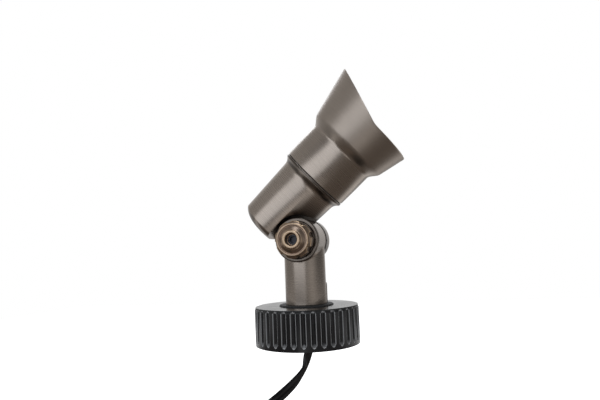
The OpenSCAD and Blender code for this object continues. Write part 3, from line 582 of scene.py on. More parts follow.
def coated_reflector(name):
    """Silvery coated glass with a faint play of colour."""
    finish = Finish(name)
    shift = finish.noise(45, 1.0, 0.4)
    color = finish.ramp(shift, (0.3, (0.55, 0.62, 0.75)), (0.5, (0.74, 0.74, 0.76)),
                        (0.7, (0.78, 0.66, 0.7)))
    finish.set(Base_Color=color, Roughness=finish.spread(shift, 0.1, 0.16), Metallic=0.9)
    return finish.material


MATERIALS = {}


def material(name):
    """A finish by name, made once."""
    if name not in MATERIALS:
        colors = sizes("finish")
        metal = tuple(colors.metal)
        maker, *values = {
            "head_metal": (brushed_metal, ROUND_HEAD, HEAD_FOOT, metal),
            "stem_metal": (brushed_metal, (0, 0, 0), (0, 0, 0), metal),
            # Darker copy of the gunmetal: painted shade for the disc behind the knob, and partly a darker
            # tone of its own.
            "disc_metal": (brushed_metal, ROUND_PIVOT, PIVOT, shade(metal, 0.45), (0.24, 0.34)),
            "knob_brass": (antique_brass, tuple(colors.brass), tuple(colors.bright_brass)),
            "cap_plastic": (black_plastic, tuple(colors.plastic), tuple(colors.plastic_highlight)),
            "seal_rubber": (black_rubber, tuple(colors.rubber)),
            "cord_vinyl": (black_rubber, tuple(colors.jacket), (0.15, 0.24)),
            "lead_vinyl": (black_rubber, (0.03, 0.03, 0.032), (0.4, 0.5)),
            "splice_vinyl": (black_rubber, (0.03, 0.06, 0.25), (0.3, 0.4)),
            "zinc_steel": (plated_steel, tuple(colors.steel)),
            "black_steel": (plated_steel, (0.045, 0.044, 0.048), (0.25, 0.35)),
            "thread_brass": (plated_steel, (0.62, 0.47, 0.24)),
            "tinned_copper": (plated_steel, (0.6, 0.58, 0.55), (0.3, 0.45)),
            "socket_ceramic": (fired_ceramic, (0.72, 0.68, 0.58)),
            "lens_glass": (clear_glass, 0.02),
            "capsule_glass": (clear_glass, 0.01),
            "reflector": (coated_reflector,),
        }[name]
        MATERIALS[name] = maker(name, *values)
    return MATERIALS[name]


def repaint(**names):
    """Gives CAD nodes their finished materials."""
    for node, name in names.items():
        slots = frame["nodes"][node].data.materials
        slots.clear()
        slots.append(material(name))


# Camera

CAMERA_PLACE = (0.098624, -0.395558, 0.070248)
CAMERA_RIGHT = (0.96728, 0.25059, -0.03967)
CAMERA_UP = (0.06611, -0.09800, 0.99299)
CAMERA_BACK = (0.24494, -0.96312, -0.11136)
SENSOR = 36.0
FRAME_WIDTH = 600
FOCUS_PIXELS = 492.64
FLOOR = -0.0688


class FLOOD_OT_camera(bpy.types.Operator):
    """Stands the camera where the photograph was taken"""
    bl_idname = "flood.camera"
    bl_label = "Camera"

    def execute(self, context):
        lens = bpy.data.cameras.new("camera")
        lens.sensor_width = SENSOR
        lens.lens = SENSOR * FOCUS_PIXELS / FRAME_WIDTH
        lens.clip_start = 0.01
        camera = bpy.data.objects.new("camera", lens)
        basis = Matrix((CAMERA_RIGHT, CAMERA_UP, CAMERA_BACK)).transposed().to_4x4()
        camera.matrix_world = Matrix.Translation(CAMERA_PLACE) @ basis
        context.scene.collection.objects.link(camera)
        context.scene.camera = camera
        return {"FINISHED"}


# Cord

CORD_ROUTE = np.array([
    [0, 0, -6], [-0.1, 0, -8], [-1, 0, -11], [-2, -0.6, -15], [-3.3, -2, -19.4],
    [-5.6, -5, -23.4], [-8.4, -9, -27.2], [-11.6, -14, -30.6], [-15.2, -19.2, -33.8],
    [-19, -25, -36.8], [-23.5, -31.2, -40], [-28.6, -38, -43.6], [-34.2, -45, -47.6],
    [-40.2, -52, -51.8], [-47, -58.6, -56], [-54.6, -64.8, -60.2], [-62.6, -69.4, -63.7],
    [-70.6, -71.6, -65.6], [-77, -72, -66.1], [-82, -72, -66.1]]) * MM
CORD_FACES = np.array([
    [0.75, -0.66, 0], [0.75, -0.66, 0], [0.8, -0.6, 0], [0.9, -0.4, -0.1], [0.95, -0.1, -0.3],
    [0.95, -0.12, -0.2], [0.93, -0.2, 0.05], [0.88, -0.3, 0.2], [0.82, -0.38, 0.35],
    [0.75, -0.42, 0.45], [0.68, -0.42, 0.55], [0.6, -0.42, 0.65], [0.4, -0.4, 0.8],
    [0.3, -0.3, 0.9], [0.2, -0.2, 1], [0.1, -0.1, 1], [0, 0, 1],
    [0, 0, 1], [0, 0, 1], [0, 0, 1]])
COIL_CENTRE = np.array([-0.090, -0.024, -0.0661])
TURNS_IN = 2.0
TURNS_BACK = 1.12
CLIMB = 0.25
COIL_STEPS = 48
STRAND_RADIUS = 0.75 * MM
STRAP_SECTION = np.array([[0.1, -1.5], [0.1, 1.5], [0.8, 1.5], [0.8, -1.5]]) * MM
STRAP_TURN = math.radians(-104)


def coil_path():
    """Centre line of the coil: it winds in at a steady rate, climbs a layer and winds back out."""
    cord = sizes("cord")
    turns = TURNS_IN + TURNS_BACK
    turn = np.linspace(0, turns, int(turns * COIL_STEPS) + 1)
    angle = -math.pi / 2 - FULL_TURN * turn
    radius = cord.coil_radius - (TURNS_IN - np.abs(turn - TURNS_IN)) * cord.coil_pitch
    rise = cord.coil_layer * ease((turn - TURNS_IN) / CLIMB + 0.5)
    arc = COIL_CENTRE + around_axis(radius, angle, rise)
    away = np.array([math.sin(angle[-1]), -math.cos(angle[-1]), 0.0])
    return np.vstack([arc, arc[-1] + cord.width * away])


def smooth_path(points, steps):
    """Curve through the points: each stretch is a cubic whose end slopes are half the chord around it."""
    ends = np.vstack([2 * points[0] - points[1], points, 2 * points[-1] - points[-2]])
    before, first, last, after = ends[:-3], ends[1:-2], ends[2:-1], ends[3:]
    share = np.linspace(0, 1, steps, endpoint=False)[:, None, None]
    curve = hermite(share, first, last, (last - before) / 2, (after - first) / 2)
    return np.vstack([curve.transpose(1, 0, 2).reshape(-1, 3), points[-1:]])


def flat_section(width, thickness, around=40):
    """Outline of two round conductors side by side: thickness dips to a groove at the middle."""
    angle = circle(around)
    across = np.cos(angle)
    swell = np.sign(np.sin(angle)) * np.abs(np.sin(angle)) ** 0.75
    groove = 1 - 0.34 * np.exp(-(across / 0.16) ** 2)
    return across * width / 2, swell * groove * thickness / 2


class FLOOD_OT_cord(bpy.types.Operator):
    """Lays the flat cord, its coil, its tie and its bare ends"""
    bl_idname = "flood.cord"
    bl_label = "Cord"

    def execute(self, context):
        cord = sizes("cord")
        coil = coil_path()
        path = np.vstack([smooth_path(CORD_ROUTE, 4), coil])
        facing = np.vstack([smooth_path(CORD_FACES, 4), np.tile(UP, (len(coil), 1))])
        along = unit(np.gradient(path, axis=0))
        across = unit(np.cross(along, facing))
        flat = np.cross(across, along)
        u, v = flat_section(cord.width, cord.thickness)
        grid = path[:, None] + across[:, None] * u[None, :, None] + flat[:, None] * v[None, :, None]
        lead = build("flat_cord", [{"points": grid, "caps": (0, -1)}], 60.0)
        dress(lead, material("cord_vinyl"), "base", "cord_jacket", "cord", "cord_coil")
        ends = self.split_ends(path[-1], along[-1])
        tie = self.strap(cord)
        return {"FINISHED"}

    def split_ends(self, start, along):
        """Two insulated conductors that part, with their bare strands."""
        cord = sizes("cord")
        sleeve = cord.tail - cord.strip
        side = unit(np.cross(along, UP))
        share = np.linspace(0, 1, 14)[:, None]
        bare_share = np.linspace(0.02, 1, 6)[:, None]
        angle = circle(20)[:, None]
        ring = side * np.cos(angle) + UP * np.sin(angle)
        radius = np.repeat([0.46 * cord.thickness, STRAND_RADIUS], [len(share), len(bare_share)])
        parts = []
        for hand in (-1, 1):
            middle = start + hand * cord.width / 4 * side + along * sleeve * share
            middle = middle + hand * side * MM * share ** 1.5
            reach = np.vstack([middle, middle[-1] + along * cord.strip * bare_share])
            parts.append({"points": reach[:, None] + radius[:, None, None] * ring, "caps": (0, -1)})
        piece = build("split_ends", parts, 50.0)
        dress(piece, material("cord_vinyl"), "base", "cord_jacket", "lead_ends")
        piece.data.materials.append(material("tinned_copper"))
        centre = np.array([face.center for face in piece.data.polygons])
        bare = (centre - start) @ along > sleeve + 0.1 * MM
        piece.data.polygons.foreach_set("material_index", bare.astype(np.int32))
        return piece

    def strap(self, cord):
        """Flat strap round all the turns: a rounded oblong loop with its own thin section.

        A point of the loop is (c |c|^(p - 1), s |s|^(p - 1)) times its half sizes, with c and s the cosine
        and sine of an angle and p well under 1, which squares the loop.
        """
        inner = cord.coil_radius - TURNS_IN * cord.coil_pitch - cord.width / 2 - 0.2 * MM
        outer = cord.coil_radius + cord.width / 2 + 0.2 * MM
        low = -cord.thickness / 2
        high = cord.coil_layer + cord.thickness / 2
        angle = circle(64)
        power = 0.35
        wide = np.sign(np.cos(angle)) * np.abs(np.cos(angle)) ** power
        tall = np.sign(np.sin(angle)) * np.abs(np.sin(angle)) ** power
        rows = []
        for out, side in STRAP_SECTION:
            x = (inner + outer) / 2 + wide * ((outer - inner) / 2 + out)
            z = (low + high) / 2 + tall * ((high - low) / 2 + out)
            rows.append(np.stack([x, np.full_like(x, side), z], axis=-1))
        radial = np.array([math.cos(STRAP_TURN), math.sin(STRAP_TURN), 0.0])
        grid = placed(np.array(rows), COIL_CENTRE, radial, np.cross(UP, radial), UP)
        tie = build("coil_strap", [{"points": grid, "wrap_rows": True}], 40.0)
        return dress(tie, material("seal_rubber"), "base", "cord_jacket", "coil_tie")


# Stake cap

STEPS_PER_FLUTE = 26


class FLOOD_OT_cap(bpy.types.Operator):
    """Moulds the ribbed cap with its arched and pointed flutes"""
    bl_idname = "flood.cap"
    bl_label = "Stake cap"

    def execute(self, context):
        cap = sizes("cap")
        step = np.linspace(0, cap.flutes, cap.flutes * STEPS_PER_FLUTE, endpoint=False)
        across = (step - np.round(step)) * FULL_TURN * cap.radius / cap.flutes
        angle = cap.flute_turn + step * FULL_TURN / cap.flutes
        slope_top = cap.flute_low + cap.flute_slope + MM
        arch_foot = cap.flute_high - 4 * MM
        height = np.unique(np.concatenate([
            np.linspace(0.6 * MM, slope_top, 24), np.linspace(slope_top, arch_foot, 10),
            np.linspace(arch_foot, cap.height - 0.8 * MM, 26)]))[:, None]
        depth, rubbed_and_highlight = self.flute(across, height)
        band = np.clip((height - cap.flute_high + 0.9 * MM) / (0.5 * MM), 0, 1) * cap.ledge
        side = around_axis(cap.radius - np.maximum(depth, band), angle, height)
        top = cap.radius - cap.ledge
        hub_low = cap.roof - cap.hub_drop
        rest, _ = soften([[top, cap.height - 0.7 * MM], [top, cap.height], [cap.bore_radius, cap.height],
                          [cap.bore_radius, hub_low], [cap.hub_radius, hub_low], [cap.hub_radius, cap.roof],
                          [cap.skirt_radius, cap.roof], [cap.skirt_radius, 0], [cap.radius, 0],
                          [cap.radius, 0.5 * MM]], mm([0.6, 0.2, 0.2, 0.3, 0.8, 1.0, 0.5, 0.4]), 2)
        grid = np.concatenate([side, around_axis(rest[:, :1], angle, rest[:, 1:])])
        wear_and_highlight = np.concatenate([rubbed_and_highlight, np.zeros((len(rest), len(angle)))])
        piece = build("ribbed_cap", [{"points": grid, "wrap_rows": True, "wear_and_highlight": wear_and_highlight}], 42.0)
        dress(piece, material("cap_plastic"), "base", "cap_plastic", "stake_cap")
        repaint(base_gasket="seal_rubber")
        return {"FINISHED"}

    def flute(self, across, height):
        """Depth of the side: trapezoid across, sloped at the foot, walls that follow an arch and a point.

        It is the softened least of the floor's depth, the flank's slope, the foot's slope and a steep step
        at the outline, whose half width is an arch at the head and a wedge at the foot. The lip is rounded
        by d = s ln(1 + exp(m / s)), with m that least and s the lip's softness. The second result is
        painted
        highlight: exp(-(m / w)^2) on the lip for a width w, a patch on the sloped foot and a spot at the
        head.
        """
        cap = sizes("cap")
        half = cap.flute_width / 2
        steep = 0.35 * MM
        soft = 0.10 * MM
        lip = 0.13 * MM
        spot = 0.5 * MM
        flank = (half - np.abs(across)) * cap.flute_depth / (half - cap.flute_floor / 2)
        foot = (height - cap.flute_low) * cap.flute_depth / (0.8 * cap.flute_slope)
        over = height - cap.flute_high + half
        arch = np.sqrt(np.clip(half ** 2 - np.clip(over, 0, None) ** 2, 0, None))
        rise = (height - cap.flute_low) / (0.6 * cap.flute_slope)
        wedge = half * np.where(rise > 0, np.clip(rise, 0, 1) ** 0.6, rise)
        wall = (np.minimum(arch, wedge) - np.abs(across)) / steep * cap.flute_depth
        levels = (cap.flute_depth, flank, foot, wall)
        least = -soft * np.log(sum(np.exp(-np.clip(level, -MM, 4 * MM) / soft) for level in levels))
        ends = np.clip(1 - rise, 0, 0.5) + np.clip(over / half, 0, 1)
        # Painted highlight: lines on the lips, a patch on the sloped feet and a spot at each head.
        rubbed_and_highlight = np.exp(-(least / steep) ** 2) * np.clip(0.75 + ends, 0, 1)
        patch = 0.3 * np.clip(1.4 - rise, 0, 1) * np.clip(least / (0.3 * MM), 0, 1)
        below = (height - cap.flute_high + spot) / spot
        crest = np.exp(-below ** 2 - (across / (0.6 * half)) ** 4)
        return lip * np.logaddexp(0.0, least / lip), np.maximum.reduce([rubbed_and_highlight, patch, crest])


# Base joint under the cap

class FLOOD_OT_base_joint(bpy.types.Operator):
    """Threads the nipple and shapes the lock nut and the strain relief"""
    bl_idname = "flood.base_joint"
    bl_label = "Base joint"

    def execute(self, context):
        self.nipple()
        self.nut()
        self.relief()
        repaint(lock_washer="zinc_steel")
        return {"FINISHED"}

    def nipple(self):
        """Threaded tube: the radius waves with height and turn, one turn per pitch."""
        low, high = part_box("threaded_nipple")
        radius = high.x
        bore, pitch, depth, lead_in = mm([7.5, 1.8, 0.9, 0.6])
        angle = circle(72)
        height = np.linspace(low.z + lead_in, high.z - lead_in, 150)[:, None]
        phase = (height / pitch - angle / FULL_TURN) % 1.0
        ridge = np.clip(np.abs(phase * 2 - 1) * 1.15, 0, 1)
        shell = around_axis(radius - depth * (1 - ridge), angle, height)
        ends = np.array([[radius - MM, high.z], [bore, high.z], [bore, low.z], [radius - MM, low.z]])
        grid = np.concatenate([shell, spin(ends, 72)])
        piece = build("nipple_thread", [{"points": grid, "wrap_rows": True}], 50.0)
        dress(piece, material("thread_brass"), "base", "brass_thread", "threaded_nipple")

    def nut(self):
        """Hexagon nut: r = f / cos b, with b the angle from the middle of a flat, under a cone's limit."""
        low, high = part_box("lock_nut")
        flat = high.y
        bore, chamfer = mm([10.7, 0.6])
        angle = circle(144)
        turned = (angle + math.pi / 6) % (math.pi / 3) - math.pi / 6
        share = np.array([0.0, 0.12, 0.2, 0.8, 0.88, 1.0])[:, None]
        limit = flat * np.array([1.0, 1.09, 1.2, 1.2, 1.09, 1.0])[:, None]
        radius = np.minimum(flat / np.cos(turned), limit)
        shell = around_axis(radius, angle, low.z + share * (high.z - low.z))
        inner = spin(np.array([[bore + chamfer, high.z], [bore, high.z - chamfer],
                               [bore, low.z + chamfer], [bore + chamfer, low.z]]), 144)
        piece = build("hex_lock_nut", [{"points": np.concatenate([shell, inner]), "wrap_rows": True}], 25.0)
        dress(piece, material("thread_brass"), "base", "brass_thread", "lock_nut")

    def relief(self):
        """Tapered strain relief with rings cut round its boot."""
        low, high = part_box("cord_grip")
        top, flange, edge, thick, plug = mm([7.8, 9.25, 0.3, 1.5, 7.45])
        start, end, ring = mm([7.0, 4.9, 0.45])
        boot = np.linspace(0, 1, 44)
        ribs = ring * np.clip(np.sin(boot * 5 * FULL_TURN), 0, 1) * (boot > 0.12) * (boot < 0.95)
        side = np.stack([start + (end - start) * boot - ribs,
                         top - thick + (low.z - top + thick) * boot], axis=-1)
        head = np.array([[0.0, high.z], [plug - 0.25 * MM, high.z], [plug, high.z - 0.4 * MM], [plug, top],
                         [flange - edge, top], [flange, top - edge], [flange, top - thick + edge],
                         [flange - edge, top - thick]])
        outline = np.vstack([head, side, [[0.0, low.z]]])
        piece = build("strain_relief", [{"points": spin(outline, 72)}], 40.0, 1e-6)
        dress(piece, material("seal_rubber"), "base", "black_rubber", "cord_grip")


# Stem

class FLOOD_OT_stem(bpy.types.Operator):
    """Turns the stem with its raised pad and joins it to its ear"""
    bl_idname = "flood.stem"
    bl_label = "Stem"

    def execute(self, context):
        stem = sizes("stem")
        angle = circle(240)
        pad_top = stem.foot + stem.pad_height
        height = np.unique(np.concatenate([
            [stem.foot + 0.25 * MM, stem.foot + 0.5 * MM],
            np.linspace(stem.foot + MM, pad_top - 4 * MM, 14),
            np.linspace(pad_top - 4 * MM, pad_top + MM, 22),
            np.linspace(pad_top + 2 * MM, PIVOT[2], 8)]))[:, None]
        around = (angle - stem.pad_turn + math.pi) % FULL_TURN - math.pi
        raised = self.pad(np.abs(around) * stem.radius, height)
        shell = around_axis(stem.radius + stem.pad_out * raised, angle, height)
        foot = shell[0] * [0.985, 0.985, 1]
        foot[:, 2] = stem.foot
        piece = build("stem_body", [{"points": np.concatenate([foot[None], shell]), "caps": (0, -1)}])
        ear, wear_and_highlight = soften([[0, -stem.ear_plane], [stem.ear_radius, -stem.ear_plane],
                            [stem.ear_radius, stem.ear_out], [0, stem.ear_out]], mm([0.25, 0.8]))
        tool = build("ear", [{"points": on_pivot(spin(ear, 240)), "wear_and_highlight": wear_and_highlight}], merge=1e-6)
        carve(piece, tool, "UNION")
        carve(piece, rod("relief", stem.ear_relief, -40 * MM, -stem.ear_plane, on_pivot, 240))
        carve(piece, rod("hole", stem.screw_radius, 10 * MM, 25 * MM, self.towards_pad, 48))
        tidy_mesh(piece, 32.0)
        dress(piece, material("stem_metal"), "base", "gunmetal", "stem")
        repaint(stem_set_screw="zinc_steel", stem_leads="lead_vinyl", splice_connectors="splice_vinyl")
        return {"FINISHED"}

    def pad(self, sideways, height):
        """How far a point is on the pad: a soft step at its sides, its top and its rounded corners."""
        stem = sizes("stem")
        corner = 3 * MM
        x = np.clip(sideways - (stem.pad_width / 2 - corner), 0, None)
        z = np.clip(height - (stem.foot + stem.pad_height - corner), 0, None)
        return ease((corner - np.hypot(x, z)) / (0.8 * MM))

    def towards_pad(self, points):
        """Points given along the set screw's axis."""
        stem = sizes("stem")
        out = np.array([math.cos(stem.pad_turn), math.sin(stem.pad_turn), 0.0])
        return placed(points, (stem.foot + 6 * MM) * UP, np.cross(UP, out), UP, out)


# Knuckle: corners as radius and distance from the stem's axis, in millimetres

DISC_CORNERS = [[4.2, 20.7], [17.4, 20.7], [17.4, 23.5], [15.0, 23.5], [14.4, 22.9], [10.7, 22.9],
                [10.1, 23.5], [4.2, 23.5], [4.2, 20.7]]
DISC_ROUNDING = [0.9, 1.1, 0.3, 0.3, 0.3, 0.3, 0.2]
KNOB_CORNERS = [[4.05, 23.6], [9.5, 23.6], [9.5, 26.4], [13.6, 26.4], [14.4, 27.2], [14.4, 34.4],
                [12.5, 35.7], [12.5, 37.3], [11.2, 37.3], [10.6, 36.6], [7.8, 38.9], [7.0, 39.2],
                [7.0, 40.9], [4.5, 40.9], [4.5, 34.1], [4.05, 34.1], [4.05, 23.6]]
KNOB_ROUNDING = [0.4, 0.4, 0.5, 0.7, 0.9, 0.5, 0.75, 0.6, 0.4, 0.6, 0.5, 1.0, 1.0, 0.1, 0.1]


class FLOOD_OT_knob(bpy.types.Operator):
    """Turns the clamp disc and the lobed clamp knob"""
    bl_idname = "flood.knob"
    bl_label = "Clamp knob"

    def execute(self, context):
        outline, wear_and_highlight = soften(mm(DISC_CORNERS), mm(DISC_ROUNDING))
        grid = on_pivot(spin(outline, 200))
        disc = build("clamp_disc", [{"points": grid, "wear_and_highlight": wear_and_highlight * 0.12, "wrap_rows": True}])
        dress(disc, material("disc_metal"), "clamp_disc", "gunmetal", "clamp_washer")
        self.lobed(sizes("knob"))
        repaint(pivot_bolt="black_steel", pivot_o_ring="seal_rubber")
        return {"FINISHED"}

    def lobed(self, knob):
        """Lobed knob: the turned outline, with its radius held under round scallops from the side.

        A scallop's wall, seen along the pivot, is the near side of a circle whose centre is just outside
        the lobes, so the radius is the softened least of the outline's and that wall's.
        """
        outline, wear_and_highlight = soften(mm(KNOB_CORNERS), mm(KNOB_ROUNDING), 6)
        cone = (outline[:, 0] > 9 * MM) & (outline[:, 0] < 12.1 * MM)
        wear_and_highlight = wear_and_highlight * np.where(cone, 0.25, 1.0) * np.where(outline[:, 1] > 40 * MM, 0.6, 1.0)
        outline, wear_and_highlight = self.refine(outline, wear_and_highlight, 0.45 * MM)
        angle = circle(320)
        centre = knob.radius + 0.48 * knob.scallop_radius
        pitch = FULL_TURN / knob.lobes
        turned = (angle - knob.lobe_turn + pitch / 2) % pitch - pitch / 2
        inside = np.clip(knob.scallop_radius ** 2 - (centre * np.sin(turned)) ** 2, 0, None)
        wall = np.where(inside > 0, centre * np.cos(turned) - np.sqrt(inside), knob.radius * 1.2)
        radius, height = outline[:, :1], outline[:, 1:]
        cut = (height > 25.0 * MM) & (height < 35.6 * MM) & (radius > 9 * MM)
        soft = 0.12 * MM
        least = knob.radius - soft * np.log(np.exp((knob.radius - radius) / soft)
                                            + np.exp((knob.radius - wall) / soft))
        grid = around_axis(np.where(cut, np.minimum(least, radius), radius), angle, height)
        on_edge = cut & (np.abs(radius - wall) < 0.35 * MM)
        rubbed_and_highlight = np.maximum(wear_and_highlight[:, None] * 0.9, np.where(on_edge, 0.8, 0))
        piece = build("lobed_knob", [{"points": on_pivot(grid), "wear_and_highlight": rubbed_and_highlight, "wrap_rows": True}], 38.0)
        dress(piece, material("knob_brass"), "knob", "antique_brass", "clamp_knob")

    def refine(self, outline, wear_and_highlight, step):
        """Adds points so that no stretch of an outline is longer than a step."""
        gaps = np.linalg.norm(np.diff(outline, axis=0), axis=1)
        count = np.maximum(1, np.ceil(gaps / step).astype(int))
        places = np.concatenate([np.arange(n) / n + i for i, n in enumerate(count)] + [[len(gaps)]])
        index = np.arange(len(outline))
        points = np.stack([np.interp(places, index, outline[:, k]) for k in (0, 1)], axis=-1)
        return points, np.interp(places, index, wear_and_highlight)


# Head

class FLOOD_OT_housing(bpy.types.Operator):
    """Turns the lamp housing, cuts its pocket and joins its ear"""
    bl_idname = "flood.housing"
    bl_label = "Lamp housing"

    def execute(self, context):
        head = sizes("head")
        edge = head.joint_radius - 0.3 * MM
        cove_end = head.joint - 2.1 * MM
        seal = head.joint - 0.75 * MM
        spigot_end = head.joint + head.spigot
        seal_radius, spigot_bore, lamp_bore, lead_bore = mm([28.9, 24.8, 23, 12.5])
        lamp_floor, lead_floor = mm([26, 14])
        share = np.linspace(0, 1, 17)
        run = cove_end - head.cove_start
        slope = (head.front_radius - head.edge_radius) / (head.cove_start + head.rear_edge)
        cove = np.stack([hermite(share, head.front_radius, edge, run * slope, run * 1.3),
                         head.cove_start + share * run], axis=-1)
        rear, rear_wear = self.crown()
        rim, rim_wear = soften([
            [edge, cove_end], [head.joint_radius, head.joint - 1.8 * MM], [head.joint_radius, head.joint],
            [seal_radius, head.joint], [seal_radius, seal], [head.spigot_radius, seal],
            [head.spigot_radius, spigot_end], [spigot_bore, spigot_end], [spigot_bore, head.joint],
            [lamp_bore, head.joint], [lamp_bore, lamp_floor], [lead_bore, lamp_floor],
            [lead_bore, lead_floor], [0, lead_floor]],
            mm([0.2, 0.25, 0.15, 0.1, 0.1, 0.4, 0.3, 0.2, 0.2, 0.5, 0.3, 0.5]))
        outline = np.vstack([rear[:-1], cove, rim[1:]])
        wear_and_highlight = np.concatenate([rear_wear[:-1] * 0.5, np.zeros(13), np.linspace(0, 0.5, 4), rim_wear[1:]])
        piece = build("lamp_housing", [{"points": on_head(spin(outline, 320)), "wear_and_highlight": wear_and_highlight}], merge=1e-6)
        far = -6.2 * MM
        face = far - head.ear_thickness
        ear, ear_wear = soften([[0, face], [head.ear_radius, face], [head.ear_radius, far + MM],
                                [0, far + MM]], mm([0.9, 0.1]))
        tool = build("ear", [{"points": on_pivot(spin(ear, 240)), "wear_and_highlight": ear_wear}], merge=1e-6)
        carve(piece, tool, "UNION")
        carve(piece, rod("pocket", head.pocket_radius, far, 60 * MM, on_pivot, 320))
        slot = np.array([[[head.slot, -60 * MM, z], [60 * MM, -60 * MM, z], [60 * MM, -far, z],
                          [head.slot, -far, z]] for z in (-head.rear - MM, 0.0)])
        carve(piece, build("slot", [{"points": on_head(slot), "caps": (0, -1)}]))
        hexagon = 6.7 * MM / math.cos(math.pi / 6)
        carve(piece, rod("recess", hexagon, face - MM, face + 4.8 * MM, on_head_pivot, 6))
        tidy_mesh(piece, 32.0)
        self.darken(piece, far)
        dress(piece, material("head_metal"), "head", "gunmetal", "rear_housing")
        repaint(housing_o_ring="seal_rubber")
        return {"FINISHED"}

    def crown(self):
        """Rear and side: a flat, an arc of radius c that leans over by the crown's angle, and a crisp edge.

        The arc's points are (e - c (sin q - sin t), f - c (cos t - cos q)) from its edge radius e and
        distance f, with t from 0 to q.
        """
        head = sizes("head")
        lean = head.crown_angle
        bow = (head.rear - head.rear_edge) / (1 - math.cos(lean))
        tilt = np.linspace(0, lean, 16)
        arc = np.stack([head.edge_radius - bow * (math.sin(lean) - np.sin(tilt)),
                        -head.rear_edge - bow * (np.cos(tilt) - math.cos(lean))], axis=-1)
        side, wear_and_highlight = soften([arc[-2], arc[-1], [head.front_radius, head.cove_start]], [0.7 * MM], 5)
        outline = np.vstack([[[0.0, -head.rear]], arc[:-2], side])
        return outline, np.concatenate([np.zeros(len(arc) - 1), wear_and_highlight])

    def darken(self, piece, far):
        """Paints shade into the colour: the pocket's wall and floor, the cove, the joint's groove and the
        crown.

        In the cove it grows smoothly over a short way and then stays even.
        """
        head = sizes("head")
        place = points_of(piece)
        out = place - PIVOT
        along = (place - HEAD_FOOT) @ HEAD_AXIS
        slack = 0.05 * MM
        near = np.hypot(out[:, 0], out[:, 2]) < head.pocket_radius + slack
        pocket = 1.0 * (near & (-out[:, 1] > far - slack))
        cove = 0.78 * ease((along - head.cove_start - 3 * MM) / (2 * MM))
        crown = 0.4 * (along < -head.rear_edge - 0.5 * MM)
        groove = 1.0 * (along > head.joint - 0.8 * MM)
        # Painted shade: full in the pocket and the groove, most of the way in the cove, less on the crown.
        paint(piece.data, "painted_shade", np.maximum.reduce([pocket, cove, crown, groove]))


class FLOOD_OT_hood(bpy.types.Operator):
    """Spins the collar and the flared glare hood with its slanted mouth"""
    bl_idname = "flood.hood"
    bl_label = "Glare hood"

    def execute(self, context):
        hood = sizes("hood")
        angle = circle(384)
        slope = math.tan(hood.flare_angle)
        back, thread, seat_radius = mm([30, 27.25, 26.6])
        seat_low, seat_high, ledge = mm([64.1, 76.1, 78.6])
        share = np.linspace(0, 1, 9)
        collar_r = back + (hood.collar_radius - back) * share + 0.15 * MM * np.sin(math.pi * share)
        collar = np.stack([collar_r, hood.collar + share * (hood.neck - hood.collar)], axis=-1)
        share = np.linspace(0, 1, 25)[1:]
        run = hood.flare - hood.neck
        neck = np.stack([hermite(share, hood.collar_radius, hood.flare_radius, 0, run * slope),
                         hood.neck + share * run], axis=-1)
        lip, lip_wear = soften([[thread, hood.collar], [back, hood.collar], collar[1]], [0.3 * MM])
        inner, inner_wear = soften([
            [hood.flare_radius - hood.wall, hood.flare], [31.55 * MM, ledge + MM], [30.55 * MM, ledge],
            [hood.aperture, ledge], [hood.aperture, seat_high], [seat_radius, seat_high],
            [seat_radius, seat_low], [thread, seat_low], [thread, hood.collar + 0.3 * MM]],
            mm([0.6, 0.6, 0.3, 0.3, 0.2, 0.2, 0.1]))
        mouth = self.mouth(angle, slope, hood)
        rim = mm([[0.0, -1.2], [0.0, -0.5], [-0.15, -0.12], [-0.5, 0.0], [-0.9, 0.0], [-1.3, 0.0],
                  [-1.65, -0.12], [-1.8, -0.5], [-1.8, -1.2]])
        flare_s = hood.flare + np.linspace(0, 1, 14)[1:-1, None] * (mouth - 1.2 * MM - hood.flare)
        flare_r = hood.flare_radius + slope * (flare_s - hood.flare)
        rim_s = mouth + rim[:, 1:]
        rim_r = hood.flare_radius + slope * (rim_s - hood.flare) + rim[:, :1]
        fixed = np.vstack([lip, collar[2:], neck])
        even = np.ones(len(angle))
        rows_r = [fixed[:, :1] * even, flare_r, rim_r, flare_r[::-1] - hood.wall, inner[:, :1] * even]
        rows_s = [fixed[:, 1:] * even, flare_s, rim_s, flare_s[::-1], inner[:, 1:] * even]
        grid = around_axis(np.concatenate(rows_r), angle, np.concatenate(rows_s))
        wear_and_highlight = np.concatenate([lip_wear, np.zeros(len(fixed) - len(lip) + len(flare_s)),
                               [0, 0.3, 0.8, 0.5, 0.3, 0.5, 0.8, 0.3, 0], np.zeros(len(flare_s)),
                               inner_wear * 0.3])
        piece = build("flared_hood", [{"points": on_head(grid), "wear_and_highlight": wear_and_highlight, "wrap_rows": True}], 38.0)
        along = (points_of(piece) - HEAD_FOOT) @ HEAD_AXIS
        paint(piece.data, "satin", np.clip((along - hood.neck - 2 * MM) / (6 * MM), 0, 1))
        dress(piece, material("head_metal"), "hood", "gunmetal", "glare_hood")
        return {"FINISHED"}

    def mouth(self, angle, slope, hood):
        """Distance of the mouth along the axis at each angle: square below, a slanted plane above.

        On the plane s = mouth + k (h + drop), with h = -r cos a and r growing with s, so
        s = (mouth + k (drop - c (r0 - m s0))) / (1 + k c m), where c = cos a and m is the flare's slope.
        """
        k = math.tan(hood.slant)
        c = np.cos(angle)
        base = hood.flare_radius - slope * hood.flare
        slanted = (hood.mouth + k * (hood.corner_drop - c * base)) / (1 + k * c * slope)
        soft = 0.35 * MM
        return hood.mouth + soft * np.logaddexp(0.0, (slanted - hood.mouth) / soft)


# Lamp and lens

